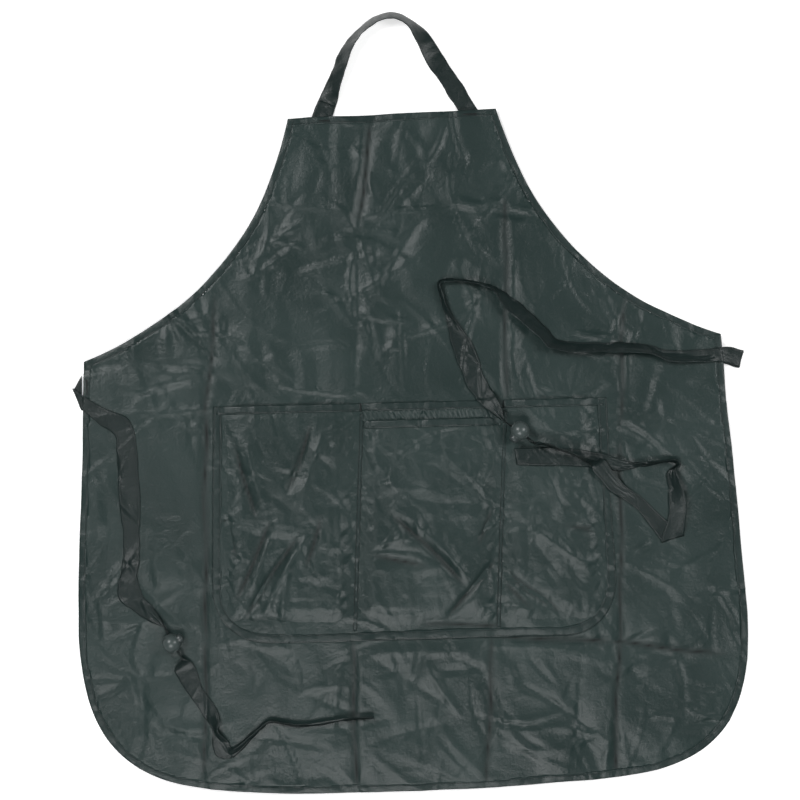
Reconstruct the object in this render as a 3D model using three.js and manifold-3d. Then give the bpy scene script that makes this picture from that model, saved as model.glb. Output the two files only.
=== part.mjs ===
// Artist's smock apron of thin nylon, laid flat with its front up: a bib panel, bound edges, one wide
// patch pocket in three compartments, a neck loop, and two waist ties with a ball cord lock on each.
// Units are millimetres. X runs across the apron, Y runs up it to the neck, Z is up off the table.
// The origin is at the middle of the laid-out apron, on the table. "Waist line" is the line through
// the two side corners where the armholes meet the skirt.

import * as THREE from "three";
import { mergeVertices } from "three/addons/utils/BufferGeometryUtils.js";
import Module from "manifold-3d";

const wasm = await Module();
wasm.setup();

// ---- driving dimensions ----

const clearance = 0.3; // between pieces that touch
const cloth = 0.6; // one layer of cloth, modelled thicker than it is

// front panel
const bibTopWidth = 239;
const bibHeight = 268.5; // waist line to the top of the bib
const waistWidth = 731; // between the two side corners
const skirtWidth = 767; // at its widest
const skirtLength = 508.5; // waist line to the bottom edge
const cornerStart = 317.5; // below the waist line, where the side starts to round
const cornerRise = 3; // of the bottom edge, from its middle to where the corner starts
const cornerInset = 203.5; // from the side to where the bottom corner ends

// edge binding, a folded tape
const bindingWidth = 8.5;
const bindingLift = 0.2; // its underside, off the table

// pocket, sewn on slightly askew
const pocketTopWidth = 452;
const pocketBottomWidth = 466;
const pocketHeight = 273;
const pocketCornerRadius = 62;
const pocketBindingWidth = 9.5;
const pocketBindingThickness = 1.2;
const pocketDrop = 62.6; // waist line to the middle of the mouth
const pocketShift = 6; // of its middle, to the wearer's left
const pocketTilt = THREE.MathUtils.degToRad(-1.1);
const dividerTops = [-56.5, 108]; // X at the mouth, from the pocket's middle
const dividerLean = -15.5; // how far each divider's foot stands to the side of its top
const pocketGape = 5; // height inside a compartment
const pocketCloth = 0.8;
const slopeRun = 9; // of a compartment's side, from its seam to its flat top
const slackMouth = 20; // how far the middle mouth droops
const seamAllowance = 2.5; // from a divider's stitching to the compartment
const hemWidth = 9;
const headingHeight = 19.4; // the gathered strip between the mouth line and the middle mouth

// neck loop
const strapWidth = 20.5;
const strapThickness = 0.9;
const strapSpacing = 167; // between its two ends on the bib
const loopHeight = 112; // the bib's top edge to the middle of the strap at the top of the loop
const loopLean = 2.2; // of the loop's top, to the wearer's left
const tabLength = 18;
const lapLength = 12.5; // how much of the tab lies over the strap
const foldGap = 1; // bib's top edge to where the loop starts to fold

// thread bars that hold the strap ends and pocket corners
const bartackWidth = 2.2;
const bartackLength = 18;
const bartackThickness = 0.5;
const stitchWidth = 1;

// ball cord locks
const ballRadius = 10.8;
const cordHoleRadius = 4.2;
const boreRadius = 5.9;
const boreDepth = 8.6; // from the middle of the ball to the bottom of the bore
const plungerRadius = 5.6;
const plungerOffset = 3.4; // of the plunger's hole from the ball's, at rest
const plungerReach = 15.5; // from the middle of the ball to the top of the button, at rest
const plungerWeb = 1.6; // between the plunger's hole and its inner end
const springRadius = 3.4;
const springWire = 0.7;
const springTurns = 3;
const springHeight = 6;
const throatWidth = 2.6; // of the bunched strap inside the ball
const throatThickness = 5;
const throatLength = 42; // straight, so that the ball can slide along it

// where the ball locks lie: middle of the ball, and the way that the strap runs through it
const toggles = {
  left: { x: -278.2, y: -265, heading: -63.1, plungerSide: 1 },
  right: { x: 130.2, y: -39.4, heading: -39.4, plungerSide: -1 },
};

// The ties lie loose. Each point is the strap's two edges: [x, y, z, x, y, z].
const tieRoutes = {
  left: {
    before: [
      [-370, 14, 1, -368, 49, 1],
      [-369, 5, 1, -376, 27, 1],
      [-370, 4, 2.9, -378, 27, 2.9],
      [-369, 5, 5, -376, 28, 5],
      [-351, -11, 4, -342, 6, 5],
      [-333, -26, 5, -317, -6, 6],
      [-332, -45, 4, -309, -36, 4.5],
      [-331, -65, 4, -309, -64, 4.5],
      [-331, -94, 4, -308, -95, 4.5],
      [-330, -123, 4, -309, -125, 4.5],
      [-329, -148, 4, -310, -150, 5],
      [-332, -175, 4, -311, -169, 6],
      [-338, -209, 4.5, -315, -189, 6.5],
      [-324, -224, 4.5, -310, -209, 7],
      [-308, -237, 8, -298, -223, 10],
    ],
    after: [
      [-276, -295, 7, -257, -289, 8],
      [-274, -305, 4.5, -250, -302, 5],
      [-263, -323, 4, -245, -321, 6],
      [-251, -342, 4, -233, -337, 7],
      [-240, -360, 4, -227, -356, 12],
      [-236, -370, 4, -229, -368, 14],
      [-237, -382, 4, -219, -380, 8],
      [-232, -397, 4, -217, -387, 7],
      [-217, -400, 4, -213, -389, 12],
      [-203, -390, 4, -205, -385, 22],
      [-187, -374, 4, -189, -372, 24],
      [-170, -361, 4, -171, -359, 24],
      [-153, -365, 4, -153, -361, 24],
      [-132, -368, 4, -131, -364, 24],
      [-110, -366, 4, -110, -363, 24],
      [-83, -363, 4, -83, -360, 24],
      [-51, -361, 4, -51, -359, 24],
    ],
  },
  right: {
    before: [
      [367.3, 46, 1, 368.4, 27, 1],
      [390, 41, 1, 384, 22, 1],
      [391, 41, 2.9, 386, 22, 2.9],
      [389, 42, 5, 384, 23, 5],
      [373, 46, 5.5, 367, 29, 6.5],
      [345, 44, 4, 344, 30, 12],
      [305, 45, 4, 305, 32, 14],
      [274, 54, 4, 273, 43, 17],
      [186, 61, 4, 178, 50, 17],
      [165, 79, 4, 157, 66, 15],
      [131, 112, 4, 119, 102, 16],
      [102, 129, 4, 101, 126, 24],
      [50, 137, 4, 51, 134, 24],
      [46, 119, 4, 50, 118, 24],
      [51, 99, 4, 58, 96, 21],
      [57, 61, 4, 81, 61, 7],
      [70, 20, 5, 94, 21, 5.5],
      [81, 0, 8, 101, 9, 8],
      [96, -16, 14, 108, -6, 15],
    ],
    after: [
      [163, -59, 11, 164, -57, 28],
      [207, -79, 12, 209, -75, 29],
      [212, -90, 12, 225, -77, 14],
      [232, -114, 9, 245, -104, 10],
      [257, -132, 5, 267, -122, 8],
      [273, -152, 4, 284, -140, 5.5],
      [286, -172, 4, 312, -166, 4],
      [287, -174, 5.5, 314, -167, 5.5],
      [288, -172, 7, 313, -165, 8],
      [297, -141, 7, 317, -138, 13],
      [298, -115, 4, 313, -112, 16],
      [297, -96, 4, 307, -93, 20],
      [309, -88, 4, 312, -86, 23],
      [305, -83, 4, 306, -80, 24],
      [288, -84, 4, 288, -81, 23],
      [263, -87, 5, 263, -82, 20],
      [243, -90, 9, 244, -76, 9.5],
      [193, -83, 9, 194, -63, 9.5],
      [125, -79, 9, 123, -59, 9.5],
    ],
  },
};

// ---- heights of the layers, from the table up ----

const rimUnder = bindingLift + cloth + clearance;
const panelTop = rimUnder + cloth;
const bindingTop = panelTop + clearance + cloth;
const pocketUnder = panelTop + clearance;
const roofUnder = pocketUnder + pocketGape;
const roofTop = roofUnder + pocketCloth;
// bottoms of the ball locks: one lies on the skirt, the other on the pocket
const ballBottoms = { left: panelTop + 0.8, right: roofTop + 0.5 };

// ---- finishes ----

const nylon = { color: 0x46524f, roughness: 0.55, metalness: 0 };
const nylonTape = { color: 0x3c4947, roughness: 0.6, metalness: 0 };
const thread = { color: 0x2a3432, roughness: 0.8, metalness: 0 };
const ballPlastic = { color: 0x4d5656, roughness: 0.2, metalness: 0 };
const buttonPlastic = { color: 0x333b3b, roughness: 0.25, metalness: 0 };
const steel = { color: 0x9a9d9e, roughness: 0.35, metalness: 1 };

// ---- helpers ----

function named(name, geometry, finish) {
  const mesh = new THREE.Mesh(geometry, new THREE.MeshStandardMaterial(finish));
  mesh.name = name;
  return mesh;
}

function solidOf(geometry) {
  const bare = geometry.clone();
  bare.deleteAttribute("normal");
  bare.deleteAttribute("uv");
  const merged = mergeVertices(bare, 1e-4);
  return new wasm.Manifold(
    new wasm.Mesh({
      numProp: 3,
      vertProperties: merged.getAttribute("position").array,
      triVerts: new Uint32Array(merged.index.array),
    }),
  );
}

function geometryOf(solid) {
  const mesh = solid.getMesh();
  const geometry = new THREE.BufferGeometry();
  geometry.setAttribute("position", new THREE.BufferAttribute(mesh.vertProperties, 3));
  geometry.setIndex(new THREE.BufferAttribute(mesh.triVerts, 1));
  geometry.computeVertexNormals();
  return geometry;
}

// a plate with the given outline, from bottom to top
function plate(outline, bottom, top) {
  const options = { depth: top - bottom, bevelEnabled: false };
  return new THREE.ExtrudeGeometry(new THREE.Shape(outline), options).translate(0, 0, bottom);
}

function bar(width, length, thickness, x, y, bottom, turn = 0) {
  const box = new THREE.BoxGeometry(width, length, thickness);
  return box.rotateZ(turn).translate(x, y, bottom + thickness / 2);
}

// the outline moved inwards by a distance, point for point, with mitred corners
function insetOf(outline, distance) {
  return outline.map((point, i) => {
    const before = outline.at(i - 1);
    const after = outline[(i + 1) % outline.length];
    const incoming = point.clone().sub(before).normalize();
    const outgoing = after.clone().sub(point).normalize();
    const bisector = incoming.clone().add(outgoing).normalize();
    const inwards = new THREE.Vector2(-bisector.y, bisector.x);
    return point.clone().addScaledVector(inwards, distance / bisector.dot(incoming));
  });
}

// a closed strap through pairs of edge points; each rung may have its own thickness
function strap(rungs, thickness) {
  const centres = rungs.map((rung) => rung.a.clone().add(rung.b).multiplyScalar(0.5));
  const corners = [];
  rungs.forEach((rung, i) => {
    const ahead = centres[Math.min(i + 1, rungs.length - 1)];
    const behind = centres[Math.max(i - 1, 0)];
    const along = ahead.clone().sub(behind);
    const across = rung.b.clone().sub(rung.a);
    const up = across.clone().cross(along).setLength((rung.thickness ?? thickness) / 2);
    corners.push(
      rung.a.clone().sub(up),
      rung.b.clone().sub(up),
      rung.b.clone().add(up),
      rung.a.clone().add(up),
    );
  });
  const faces = [];
  const quad = (p, q, r, s) => faces.push(p, q, r, p, r, s);
  // both broad faces are split along the same diagonal, so that a twisted strap keeps its thickness
  const last = 4 * (rungs.length - 1);
  for (let i = 0; i < last; i += 4) {
    quad(i, i + 4, i + 5, i + 1);
    quad(i + 1, i + 5, i + 6, i + 2);
    quad(i + 3, i + 2, i + 6, i + 7);
    quad(i + 3, i + 7, i + 4, i);
  }
  quad(0, 1, 2, 3);
  quad(last + 3, last + 2, last + 1, last);
  const geometry = new THREE.BufferGeometry().setFromPoints(corners);
  geometry.setIndex(faces);
  geometry.computeVertexNormals();
  return geometry;
}

// ---- front panel and its bindings, drawn from the waist line ----

const armholePoints = 14;
const cornerPoints = 10;
const halfBib = bibTopWidth / 2;
const halfWaist = waistWidth / 2;
const halfSkirt = skirtWidth / 2;

// right half of the outline, from the bib's top corner round to the middle of the bottom edge
function halfOutline() {
  const reach = halfWaist - halfBib;
  const armhole = new THREE.CubicBezierCurve(
    new THREE.Vector2(halfBib, bibHeight),
    new THREE.Vector2(halfBib + 0.119 * reach, 0.59 * bibHeight),
    new THREE.Vector2(halfBib + 0.365 * reach, 0.218 * bibHeight),
    new THREE.Vector2(halfWaist, 0),
  );
  const cornerEnd = new THREE.Vector2(halfSkirt - cornerInset, cornerRise - skirtLength);
  const cornerHeight = -cornerStart - cornerEnd.y;
  const corner = new THREE.CubicBezierCurve(
    new THREE.Vector2(halfSkirt, -cornerStart),
    new THREE.Vector2(halfSkirt, -cornerStart - 0.856 * cornerHeight),
    new THREE.Vector2(cornerEnd.x + 0.666 * cornerInset, cornerEnd.y + 0.043 * cornerHeight),
    cornerEnd,
  );
  const middle = new THREE.Vector2(0, -skirtLength);
  return {
    armhole: armhole.getPoints(armholePoints),
    skirt: [...corner.getPoints(cornerPoints), middle],
  };
}

const half = halfOutline();
const mirrored = (points) => points.map((p) => new THREE.Vector2(-p.x, p.y)).reverse();
const skirtRight = half.skirt;
const skirtLeft = mirrored(half.skirt.slice(0, -1));
// anticlockwise from the bib's top left corner: left armhole, skirt, right armhole
const clockwise = [...half.armhole, ...skirtRight, ...skirtLeft, ...mirrored(half.armhole)];
const panelOutline = clockwise.reverse();
const pointCount = panelOutline.length;
const waistRight = pointCount - 1 - armholePoints;
const waistLeft = armholePoints;
const bibRight = pointCount - 1;

// a tape folded over the panel's edge, between two points of the outline
function edgeBinding(first, last) {
  const inner = insetOf(panelOutline, bindingWidth);
  const count = ((last - first + pointCount) % pointCount) + 1;
  const indices = Array.from({ length: count }, (_, i) => (first + i) % pointCount);
  const outside = indices.map((i) => panelOutline[i]);
  const inside = indices.map((i) => inner[i]).reverse();
  const tape = solidOf(plate([...outside, ...inside], bindingLift, bindingTop));
  const slot = solidOf(plate(insetOf(panelOutline, cloth), rimUnder - clearance, panelTop + clearance));
  const ends = [first, last].map((i) => mitreGap(panelOutline[i], inner[i]));
  return ends.reduce((solid, end) => solid.subtract(end), tape.subtract(slot));
}

// a thin slab along a mitre, so that two tapes meet there with a clearance
function mitreGap(corner, inside) {
  const along = inside.clone().sub(corner);
  const middle = corner.clone().add(inside).multiplyScalar(0.5);
  const length = 2 * along.length();
  const height = 2 * bindingTop;
  return solidOf(bar(length, clearance, height, middle.x, middle.y, -bindingTop / 2, along.angle()));
}

function frontPanel() {
  const rim = solidOf(plate(insetOf(panelOutline, cloth + clearance), rimUnder, panelTop));
  const field = solidOf(plate(insetOf(panelOutline, bindingWidth + clearance), 0, panelTop));
  return rim.add(field);
}

// ---- pocket, drawn from the middle of its mouth ----

const outlineReach = 20; // how far the compartments' outlines run past the mouth before they are cut
const halfMouth = pocketTopWidth / 2;
const sideLean = (pocketBottomWidth - pocketTopWidth) / 2;
const leanAt = (y) => (-y / pocketHeight) * sideLean;
const dividerAt = (i, y) => dividerTops[i] - (y / pocketHeight) * dividerLean;

// half of the pocket's outline on one side (1 or -1), moved inwards, from above the mouth to the bottom
function pocketSide(side, inset, top) {
  const radius = pocketCornerRadius - inset;
  const bottom = inset - pocketHeight;
  const arcTop = bottom + radius;
  const edge = (y) => side * (halfMouth + leanAt(y) - inset);
  const centre = new THREE.Vector2(edge(arcTop) - side * radius, arcTop);
  const arc = [];
  const arcSteps = 8;
  for (let i = 0; i <= arcSteps; i += 1) {
    const turn = (i / arcSteps) * (Math.PI / 2);
    const x = centre.x + side * radius * Math.cos(turn);
    arc.push(new THREE.Vector2(x, centre.y - radius * Math.sin(turn)));
  }
  return [new THREE.Vector2(edge(top), top), ...arc];
}

function pocketTape() {
  const outer = [...pocketSide(-1, 0, 0), ...pocketSide(1, 0, 0).reverse()];
  const inner = [
    ...pocketSide(-1, pocketBindingWidth, 0),
    ...pocketSide(1, pocketBindingWidth, 0).reverse(),
  ].reverse();
  return plate([...outer, ...inner], pocketUnder, pocketUnder + pocketBindingThickness);
}

const skinInset = pocketBindingWidth + clearance;

// outline of one compartment, moved inwards from its seams and run past the mouth
function compartmentOutline(index, inset) {
  const foot = skinInset + inset - pocketHeight;
  const divider = (i, side) =>
    [foot, outlineReach].map(
      (y) => new THREE.Vector2(dividerAt(i, y) + side * (seamAllowance + inset), y),
    );
  if (index === 0) {
    const [low, high] = divider(0, -1);
    return [...pocketSide(-1, skinInset + inset, outlineReach), low, high];
  }
  if (index === 2) {
    const [low, high] = divider(1, 1);
    return [high, low, ...pocketSide(1, skinInset + inset, outlineReach).reverse()];
  }
  const [lowLeft, highLeft] = divider(0, 1);
  const [lowRight, highRight] = divider(1, -1);
  return [highLeft, lowLeft, lowRight, highRight];
}

// a mound over one compartment: sloped sides up to a flat top
function mound(index, inset, top) {
  const rise = top - pocketUnder;
  const options = {
    depth: rise,
    bevelEnabled: true,
    bevelSegments: 1,
    bevelThickness: rise,
    bevelSize: slopeRun,
    bevelOffset: -slopeRun,
  };
  const shape = new THREE.Shape(compartmentOutline(index, inset));
  return solidOf(new THREE.ExtrudeGeometry(shape, options).translate(0, 0, top - 2 * rise));
}

const mouths = [0, -slackMouth, 0];

function pocketSkin() {
  const top = outlineReach + pocketHeight;
  const width = pocketBottomWidth;
  const below = (y) => solidOf(bar(width, top, roofTop, 0, y - top / 2, pocketUnder));
  const base = solidOf(
    plate(
      [...pocketSide(-1, skinInset, 0), ...pocketSide(1, skinInset, 0).reverse()],
      pocketUnder,
      pocketUnder + pocketCloth,
    ),
  );
  const droop = compartmentOutline(1, 0).map((p) => new THREE.Vector2(p.x, Math.max(p.y, -slackMouth)));
  let skin = base.subtract(solidOf(plate(droop, 0, 2 * roofTop)));
  mouths.forEach((mouth, i) => {
    skin = skin.add(mound(i, 0, roofTop).intersect(below(mouth)));
  });
  mouths.forEach((_, i) => {
    skin = skin.subtract(mound(i, pocketCloth, roofUnder));
  });
  return skin;
}

// left and right limits of a compartment's flat top at a height up the pocket
function roofSpan(index, y) {
  const side = halfMouth + leanAt(y) - skinInset - slopeRun;
  const seam = seamAllowance + slopeRun;
  const low = index === 0 ? -side : dividerAt(index - 1, y) + seam;
  const high = index === 2 ? side : dividerAt(index, y) - seam;
  return [low, high];
}

function pocketHem(index) {
  const [low, high] = roofSpan(index, mouths[index] - hemWidth);
  const middle = mouths[index] - hemWidth / 2;
  return bar(high - low, hemWidth, cloth, (low + high) / 2, middle, roofTop + clearance);
}

function pocketHeading() {
  const [low, high] = roofSpan(1, 0);
  const middle = clearance - slackMouth + headingHeight / 2;
  return bar(high - low, headingHeight, cloth, (low + high) / 2, middle, pocketUnder);
}

function dividerStitch(index) {
  const top = -1.5 * hemWidth;
  const bottom = skinInset - pocketHeight + hemWidth;
  const middle = (top + bottom) / 2;
  const lean = Math.atan2(dividerLean, pocketHeight);
  const height = pocketUnder + pocketCloth + clearance;
  const x = dividerAt(index, middle);
  return bar(stitchWidth, top - bottom, bartackThickness, x, middle, height, lean);
}

// ---- neck loop, drawn from the middle of the bib's top edge ----

// across (1 is a strap end), up (1 is the top of the loop), tilt of the strap off the table in degrees
const loopShape = [
  [-0.97, 0, 0],
  [-0.875, 0.165, 0],
  [-0.81, 0.29, 26],
  [-0.71, 0.48, 40],
  [-0.6, 0.67, 50],
  [-0.43, 0.84, 60],
  [-0.19, 0.97, 60],
  [0.06, 1, 59],
  [0.29, 0.91, 54],
  [0.46, 0.75, 32],
  [0.62, 0.53, 8],
  [0.82, 0.3, 2],
  [1.055, 0, 0],
];

const loopPoint = ([across, up]) =>
  new THREE.Vector3((across * strapSpacing) / 2 + up * loopLean, up * loopHeight, 0);
const loopLine = new THREE.CatmullRomCurve3(loopShape.map(loopPoint));
const loopTilt = new THREE.SplineCurve(loopShape.map(([, , tilt], i) => new THREE.Vector2(i, tilt)));

// rungs across the loop between two distances along it, with its lower edge at a height
function loopRungs(start, end, steps, height) {
  const rungs = [];
  for (let i = 0; i <= steps; i += 1) {
    const distance = start + (i / steps) * (end - start);
    const t = loopLine.getUtoTmapping(0, distance);
    const tilt = THREE.MathUtils.degToRad(Math.max(loopTilt.getPoint(t).y, 0));
    const ahead = loopLine.getTangent(t);
    const outwards = new THREE.Vector3(-ahead.y, ahead.x, 0);
    const across = outwards.multiplyScalar((-strapWidth / 2) * Math.cos(tilt));
    across.z = (strapWidth / 2) * Math.sin(tilt);
    const centre = loopLine.getPoint(t).setZ(height + across.z);
    rungs.push({ a: centre.clone().sub(across), b: centre.clone().add(across) });
  }
  return rungs;
}

// keeps what lies beyond the bib's top edge, far enough off it to fold either way
function beyondBib(geometry) {
  const reach = 4 * loopHeight;
  const keep = bar(reach, reach, reach, 0, reach / 2 + foldGap, -reach / 2);
  return geometryOf(solidOf(geometry).intersect(solidOf(keep)));
}

function neckStrap() {
  const rungs = loopRungs(tabLength - lapLength, loopLine.getLength(), 36, strapThickness / 2);
  return beyondBib(strap(rungs, strapThickness));
}

function neckTab() {
  const height = 1.5 * strapThickness + clearance;
  return beyondBib(strap(loopRungs(0, tabLength, 3, height), strapThickness));
}

function lapStitch() {
  const [foot, top] = loopShape.map(loopPoint);
  const at = foot.clone().lerp(top, 0.9);
  const lean = Math.atan2(top.y - foot.y, top.x - foot.x) - Math.PI / 2;
  const height = 2 * (strapThickness + clearance);
  return bar(0.7 * strapWidth, stitchWidth, bartackThickness, at.x, at.y, height, lean);
}

// ---- ties and their ball locks ----

function rungOf([ax, ay, az, bx, by, bz]) {
  return { a: new THREE.Vector3(ax, ay, az), b: new THREE.Vector3(bx, by, bz) };
}

const holeShift = plungerOffset / 2; // the strap runs where the two holes overlap

function toggleFrame(side) {
  const { x, y, heading, plungerSide } = toggles[side];
  const turn = THREE.MathUtils.degToRad(heading);
  const along = new THREE.Vector3(Math.cos(turn), Math.sin(turn), 0);
  const button = new THREE.Vector3(-along.y, along.x, 0).multiplyScalar(plungerSide);
  const centre = new THREE.Vector3(x, y, ballBottoms[side] + ballRadius);
  return { centre, along, button };
}

// the two ends of the bunched, straight stretch inside the ball
function throatRungs(side) {
  const { centre, along, button } = toggleFrame(side);
  const middle = centre.clone().addScaledVector(button, holeShift);
  const across = button.clone().multiplyScalar((toggles[side].plungerSide * throatWidth) / 2);
  return [-1, 1].map((end) => {
    const at = middle.clone().addScaledVector(along, (end * throatLength) / 2);
    return { a: at.clone().sub(across), b: at.clone().add(across), thickness: throatThickness };
  });
}

function waistTie(side) {
  const { before, after } = tieRoutes[side];
  const rungs = [...before.map(rungOf), ...throatRungs(side), ...after.map(rungOf)];
  return strap(rungs, strapThickness);
}

// ball lock parts, with the strap along X and the plunger along Y
function cylinderAlongY(radius, low, high) {
  return new THREE.CylinderGeometry(radius, radius, high - low, 40).translate(0, (low + high) / 2, 0);
}

function cordHole(shift) {
  const reach = 4 * ballRadius;
  const hole = new THREE.CylinderGeometry(cordHoleRadius, cordHoleRadius, reach, 24);
  return solidOf(hole.rotateZ(Math.PI / 2).translate(0, shift, 0));
}

function barrel() {
  const ball = solidOf(new THREE.SphereGeometry(ballRadius, 48, 28));
  const bore = solidOf(cylinderAlongY(boreRadius, -boreDepth, 2 * ballRadius));
  return geometryOf(ball.subtract(bore).subtract(cordHole(0)));
}

const plungerEnd = plungerOffset - cordHoleRadius - plungerWeb;

function plunger() {
  const shoulder = plungerReach - plungerRadius / 2;
  const dome = new THREE.EllipseCurve(0, shoulder, plungerRadius, plungerRadius / 2, 0, Math.PI / 2);
  const profile = [
    new THREE.Vector2(0, plungerEnd),
    new THREE.Vector2(plungerRadius, plungerEnd),
    ...dome.getPoints(6),
  ];
  profile.at(-1).x = 0;
  const turned = solidOf(new THREE.LatheGeometry(profile, 40));
  return geometryOf(turned.subtract(cordHole(plungerOffset)));
}

class SpringCurve extends THREE.Curve {
  getPoint(t, target = new THREE.Vector3()) {
    const turn = 2 * Math.PI * springTurns * t;
    const rise = springHeight - springWire - 2 * clearance;
    const foot = clearance + springWire / 2 - boreDepth;
    return target.set(springRadius * Math.cos(turn), foot + rise * t, springRadius * Math.sin(turn));
  }
}

function spring() {
  const wire = new THREE.Shape(new THREE.EllipseCurve(0, 0, springWire / 2, springWire / 2).getPoints(6));
  const options = { steps: 12 * springTurns, bevelEnabled: false, extrudePath: new SpringCurve() };
  return new THREE.ExtrudeGeometry(wire, options);
}

function ballLock(side) {
  const { centre, button } = toggleFrame(side);
  const lock = new THREE.Group();
  lock.add(
    named(`toggle_${side}_barrel`, barrel(), ballPlastic),
    named(`toggle_${side}_plunger`, plunger(), buttonPlastic),
    named(`toggle_${side}_spring`, spring(), steel),
  );
  lock.position.copy(centre);
  lock.rotation.z = Math.atan2(button.y, button.x) - Math.PI / 2;
  return lock;
}

// ---- assembly ----

const bib = new THREE.Group();
bib.position.y = bibHeight;
bib.add(
  named("neck_strap", neckStrap(), nylonTape),
  named("neck_tab", neckTab(), nylonTape),
  named("neck_lap_stitch", lapStitch(), thread),
);
[["left", loopShape[0][0]], ["right", loopShape.at(-1)[0]]].forEach(([side, across]) => {
  const x = (across * strapSpacing) / 2;
  const y = -bindingWidth / 2;
  const height = bindingTop + clearance;
  const geometry = bar(bartackLength, bartackWidth, bartackThickness, x, y, height);
  bib.add(named(`neck_bartack_${side}`, geometry, thread));
});

const pocket = new THREE.Group();
pocket.position.set(pocketShift, -pocketDrop, 0);
pocket.rotation.z = pocketTilt;
pocket.add(
  named("pocket_panel", geometryOf(pocketSkin()), nylon),
  named("pocket_binding", pocketTape(), nylonTape),
  named("pocket_heading", pocketHeading(), nylon),
);
["left", "middle", "right"].forEach((place, i) => {
  pocket.add(named(`pocket_hem_${place}`, pocketHem(i), nylonTape));
});
["left", "right"].forEach((side, i) => {
  pocket.add(named(`pocket_stitch_${side}`, dividerStitch(i), thread));
});
const tapeMiddle = halfMouth - pocketBindingWidth / 2;
const mouthBartacks = [
  [-tapeMiddle, pocketBindingThickness],
  [dividerTops[0], pocketCloth],
  [dividerTops[1], pocketCloth],
  [tapeMiddle, pocketBindingThickness],
];
mouthBartacks.forEach(([x, layer], i) => {
  const height = pocketUnder + layer + clearance;
  const geometry = bar(bartackWidth, hemWidth, bartackThickness, x, -hemWidth / 2 - clearance, height);
  pocket.add(named(`pocket_bartack_${i + 1}`, geometry, thread));
});

const tieRootDrops = { left: 29.5, right: 24.5 }; // waist line to the middle of each tie's sewn end
const apron = new THREE.Group();
apron.add(
  named("apron_panel", geometryOf(frontPanel()), nylon),
  named("bib_hem", geometryOf(edgeBinding(bibRight, 0)), nylonTape),
  named("armhole_binding_left", geometryOf(edgeBinding(0, waistLeft)), nylonTape),
  named("skirt_binding", geometryOf(edgeBinding(waistLeft, waistRight)), nylonTape),
  named("armhole_binding_right", geometryOf(edgeBinding(waistRight, bibRight)), nylonTape),
  bib,
  pocket,
);
Object.entries(tieRootDrops).forEach(([side, drop]) => {
  const edge = halfWaist + ((halfSkirt - halfWaist) * drop) / cornerStart;
  const x = (side === "left" ? -1 : 1) * (edge - bindingWidth / 2);
  const geometry = bar(bartackWidth, bartackLength, bartackThickness, x, -drop, bindingTop + clearance);
  apron.add(named(`tie_bartack_${side}`, geometry, thread));
});

// the origin is at the middle of the laid-out length, neck loop included
const laid = new THREE.Box3().setFromObject(apron, true);
apron.position.y = -(laid.min.y + laid.max.y) / 2;

const part = new THREE.Group();
part.add(apron, ballLock("left"), ballLock("right"));
Object.keys(toggles).forEach((side) => {
  part.add(named(`waist_tie_${side}`, waistTie(side), nylonTape));
});

export default part;
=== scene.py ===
import math

import bmesh
import bpy
import numpy as np
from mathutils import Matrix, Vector


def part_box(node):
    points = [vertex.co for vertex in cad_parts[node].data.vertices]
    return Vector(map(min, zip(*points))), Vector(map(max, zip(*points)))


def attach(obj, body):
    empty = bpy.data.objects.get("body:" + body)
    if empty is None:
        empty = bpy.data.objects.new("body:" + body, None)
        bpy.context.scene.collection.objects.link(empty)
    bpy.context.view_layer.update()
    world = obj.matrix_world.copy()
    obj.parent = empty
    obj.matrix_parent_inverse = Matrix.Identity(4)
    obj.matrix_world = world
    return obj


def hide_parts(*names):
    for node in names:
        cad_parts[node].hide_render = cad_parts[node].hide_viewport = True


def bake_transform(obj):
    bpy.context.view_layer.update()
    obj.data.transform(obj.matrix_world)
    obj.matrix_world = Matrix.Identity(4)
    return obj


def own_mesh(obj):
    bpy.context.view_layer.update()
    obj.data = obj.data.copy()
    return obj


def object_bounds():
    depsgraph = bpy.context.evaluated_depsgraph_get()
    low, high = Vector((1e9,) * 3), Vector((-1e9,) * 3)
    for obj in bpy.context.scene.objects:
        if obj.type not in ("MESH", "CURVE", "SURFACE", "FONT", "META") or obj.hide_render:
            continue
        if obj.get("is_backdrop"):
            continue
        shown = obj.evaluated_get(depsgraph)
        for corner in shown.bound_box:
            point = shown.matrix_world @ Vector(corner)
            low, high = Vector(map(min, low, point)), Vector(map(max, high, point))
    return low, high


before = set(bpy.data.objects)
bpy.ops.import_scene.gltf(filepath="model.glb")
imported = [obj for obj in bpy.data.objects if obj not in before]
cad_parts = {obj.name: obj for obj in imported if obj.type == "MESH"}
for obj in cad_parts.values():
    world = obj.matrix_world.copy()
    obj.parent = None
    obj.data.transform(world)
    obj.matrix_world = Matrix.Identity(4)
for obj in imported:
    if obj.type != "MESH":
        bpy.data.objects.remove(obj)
cadBox = [list(corner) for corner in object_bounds()]
mm = 0.001

camera = {
    "lens": 85,
    "height": 2.172,
    "aim": (-0.005, 0.0014),
    "roll": -2.5,
}

lights = {
    # name: place, size in x and y, watts, aims at
    "keyLeft": ((-1.05, 0.80, 1.8), (0.8, 0.7), 23, (0.0, 0.0, 0.0)),
    "fillRight": ((1.5, 0.35, 1.5), (0.7, 0.9), 17, (0.0, 0.0, 0.0)),
    "front": ((-0.25, -1.25, 1.9), (1.2, 0.8), 22, (0.0, 0.0, 0.0)),
}
skyGlow = {"asSeen": 1.0, "asLight": 0.08}


def makeCamera():
    # looks straight down from above the apron's middle
    data = bpy.data.cameras.new("studioCamera")
    data.lens = camera["lens"]
    data.sensor_width = 36
    data.clip_end = 20
    cam = bpy.data.objects.new("studioCamera", data)
    cam.location = (*camera["aim"], camera["height"])
    cam.rotation_euler = (0, 0, math.radians(camera["roll"]))
    bpy.context.scene.collection.objects.link(cam)
    bpy.context.scene.camera = cam


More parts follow.
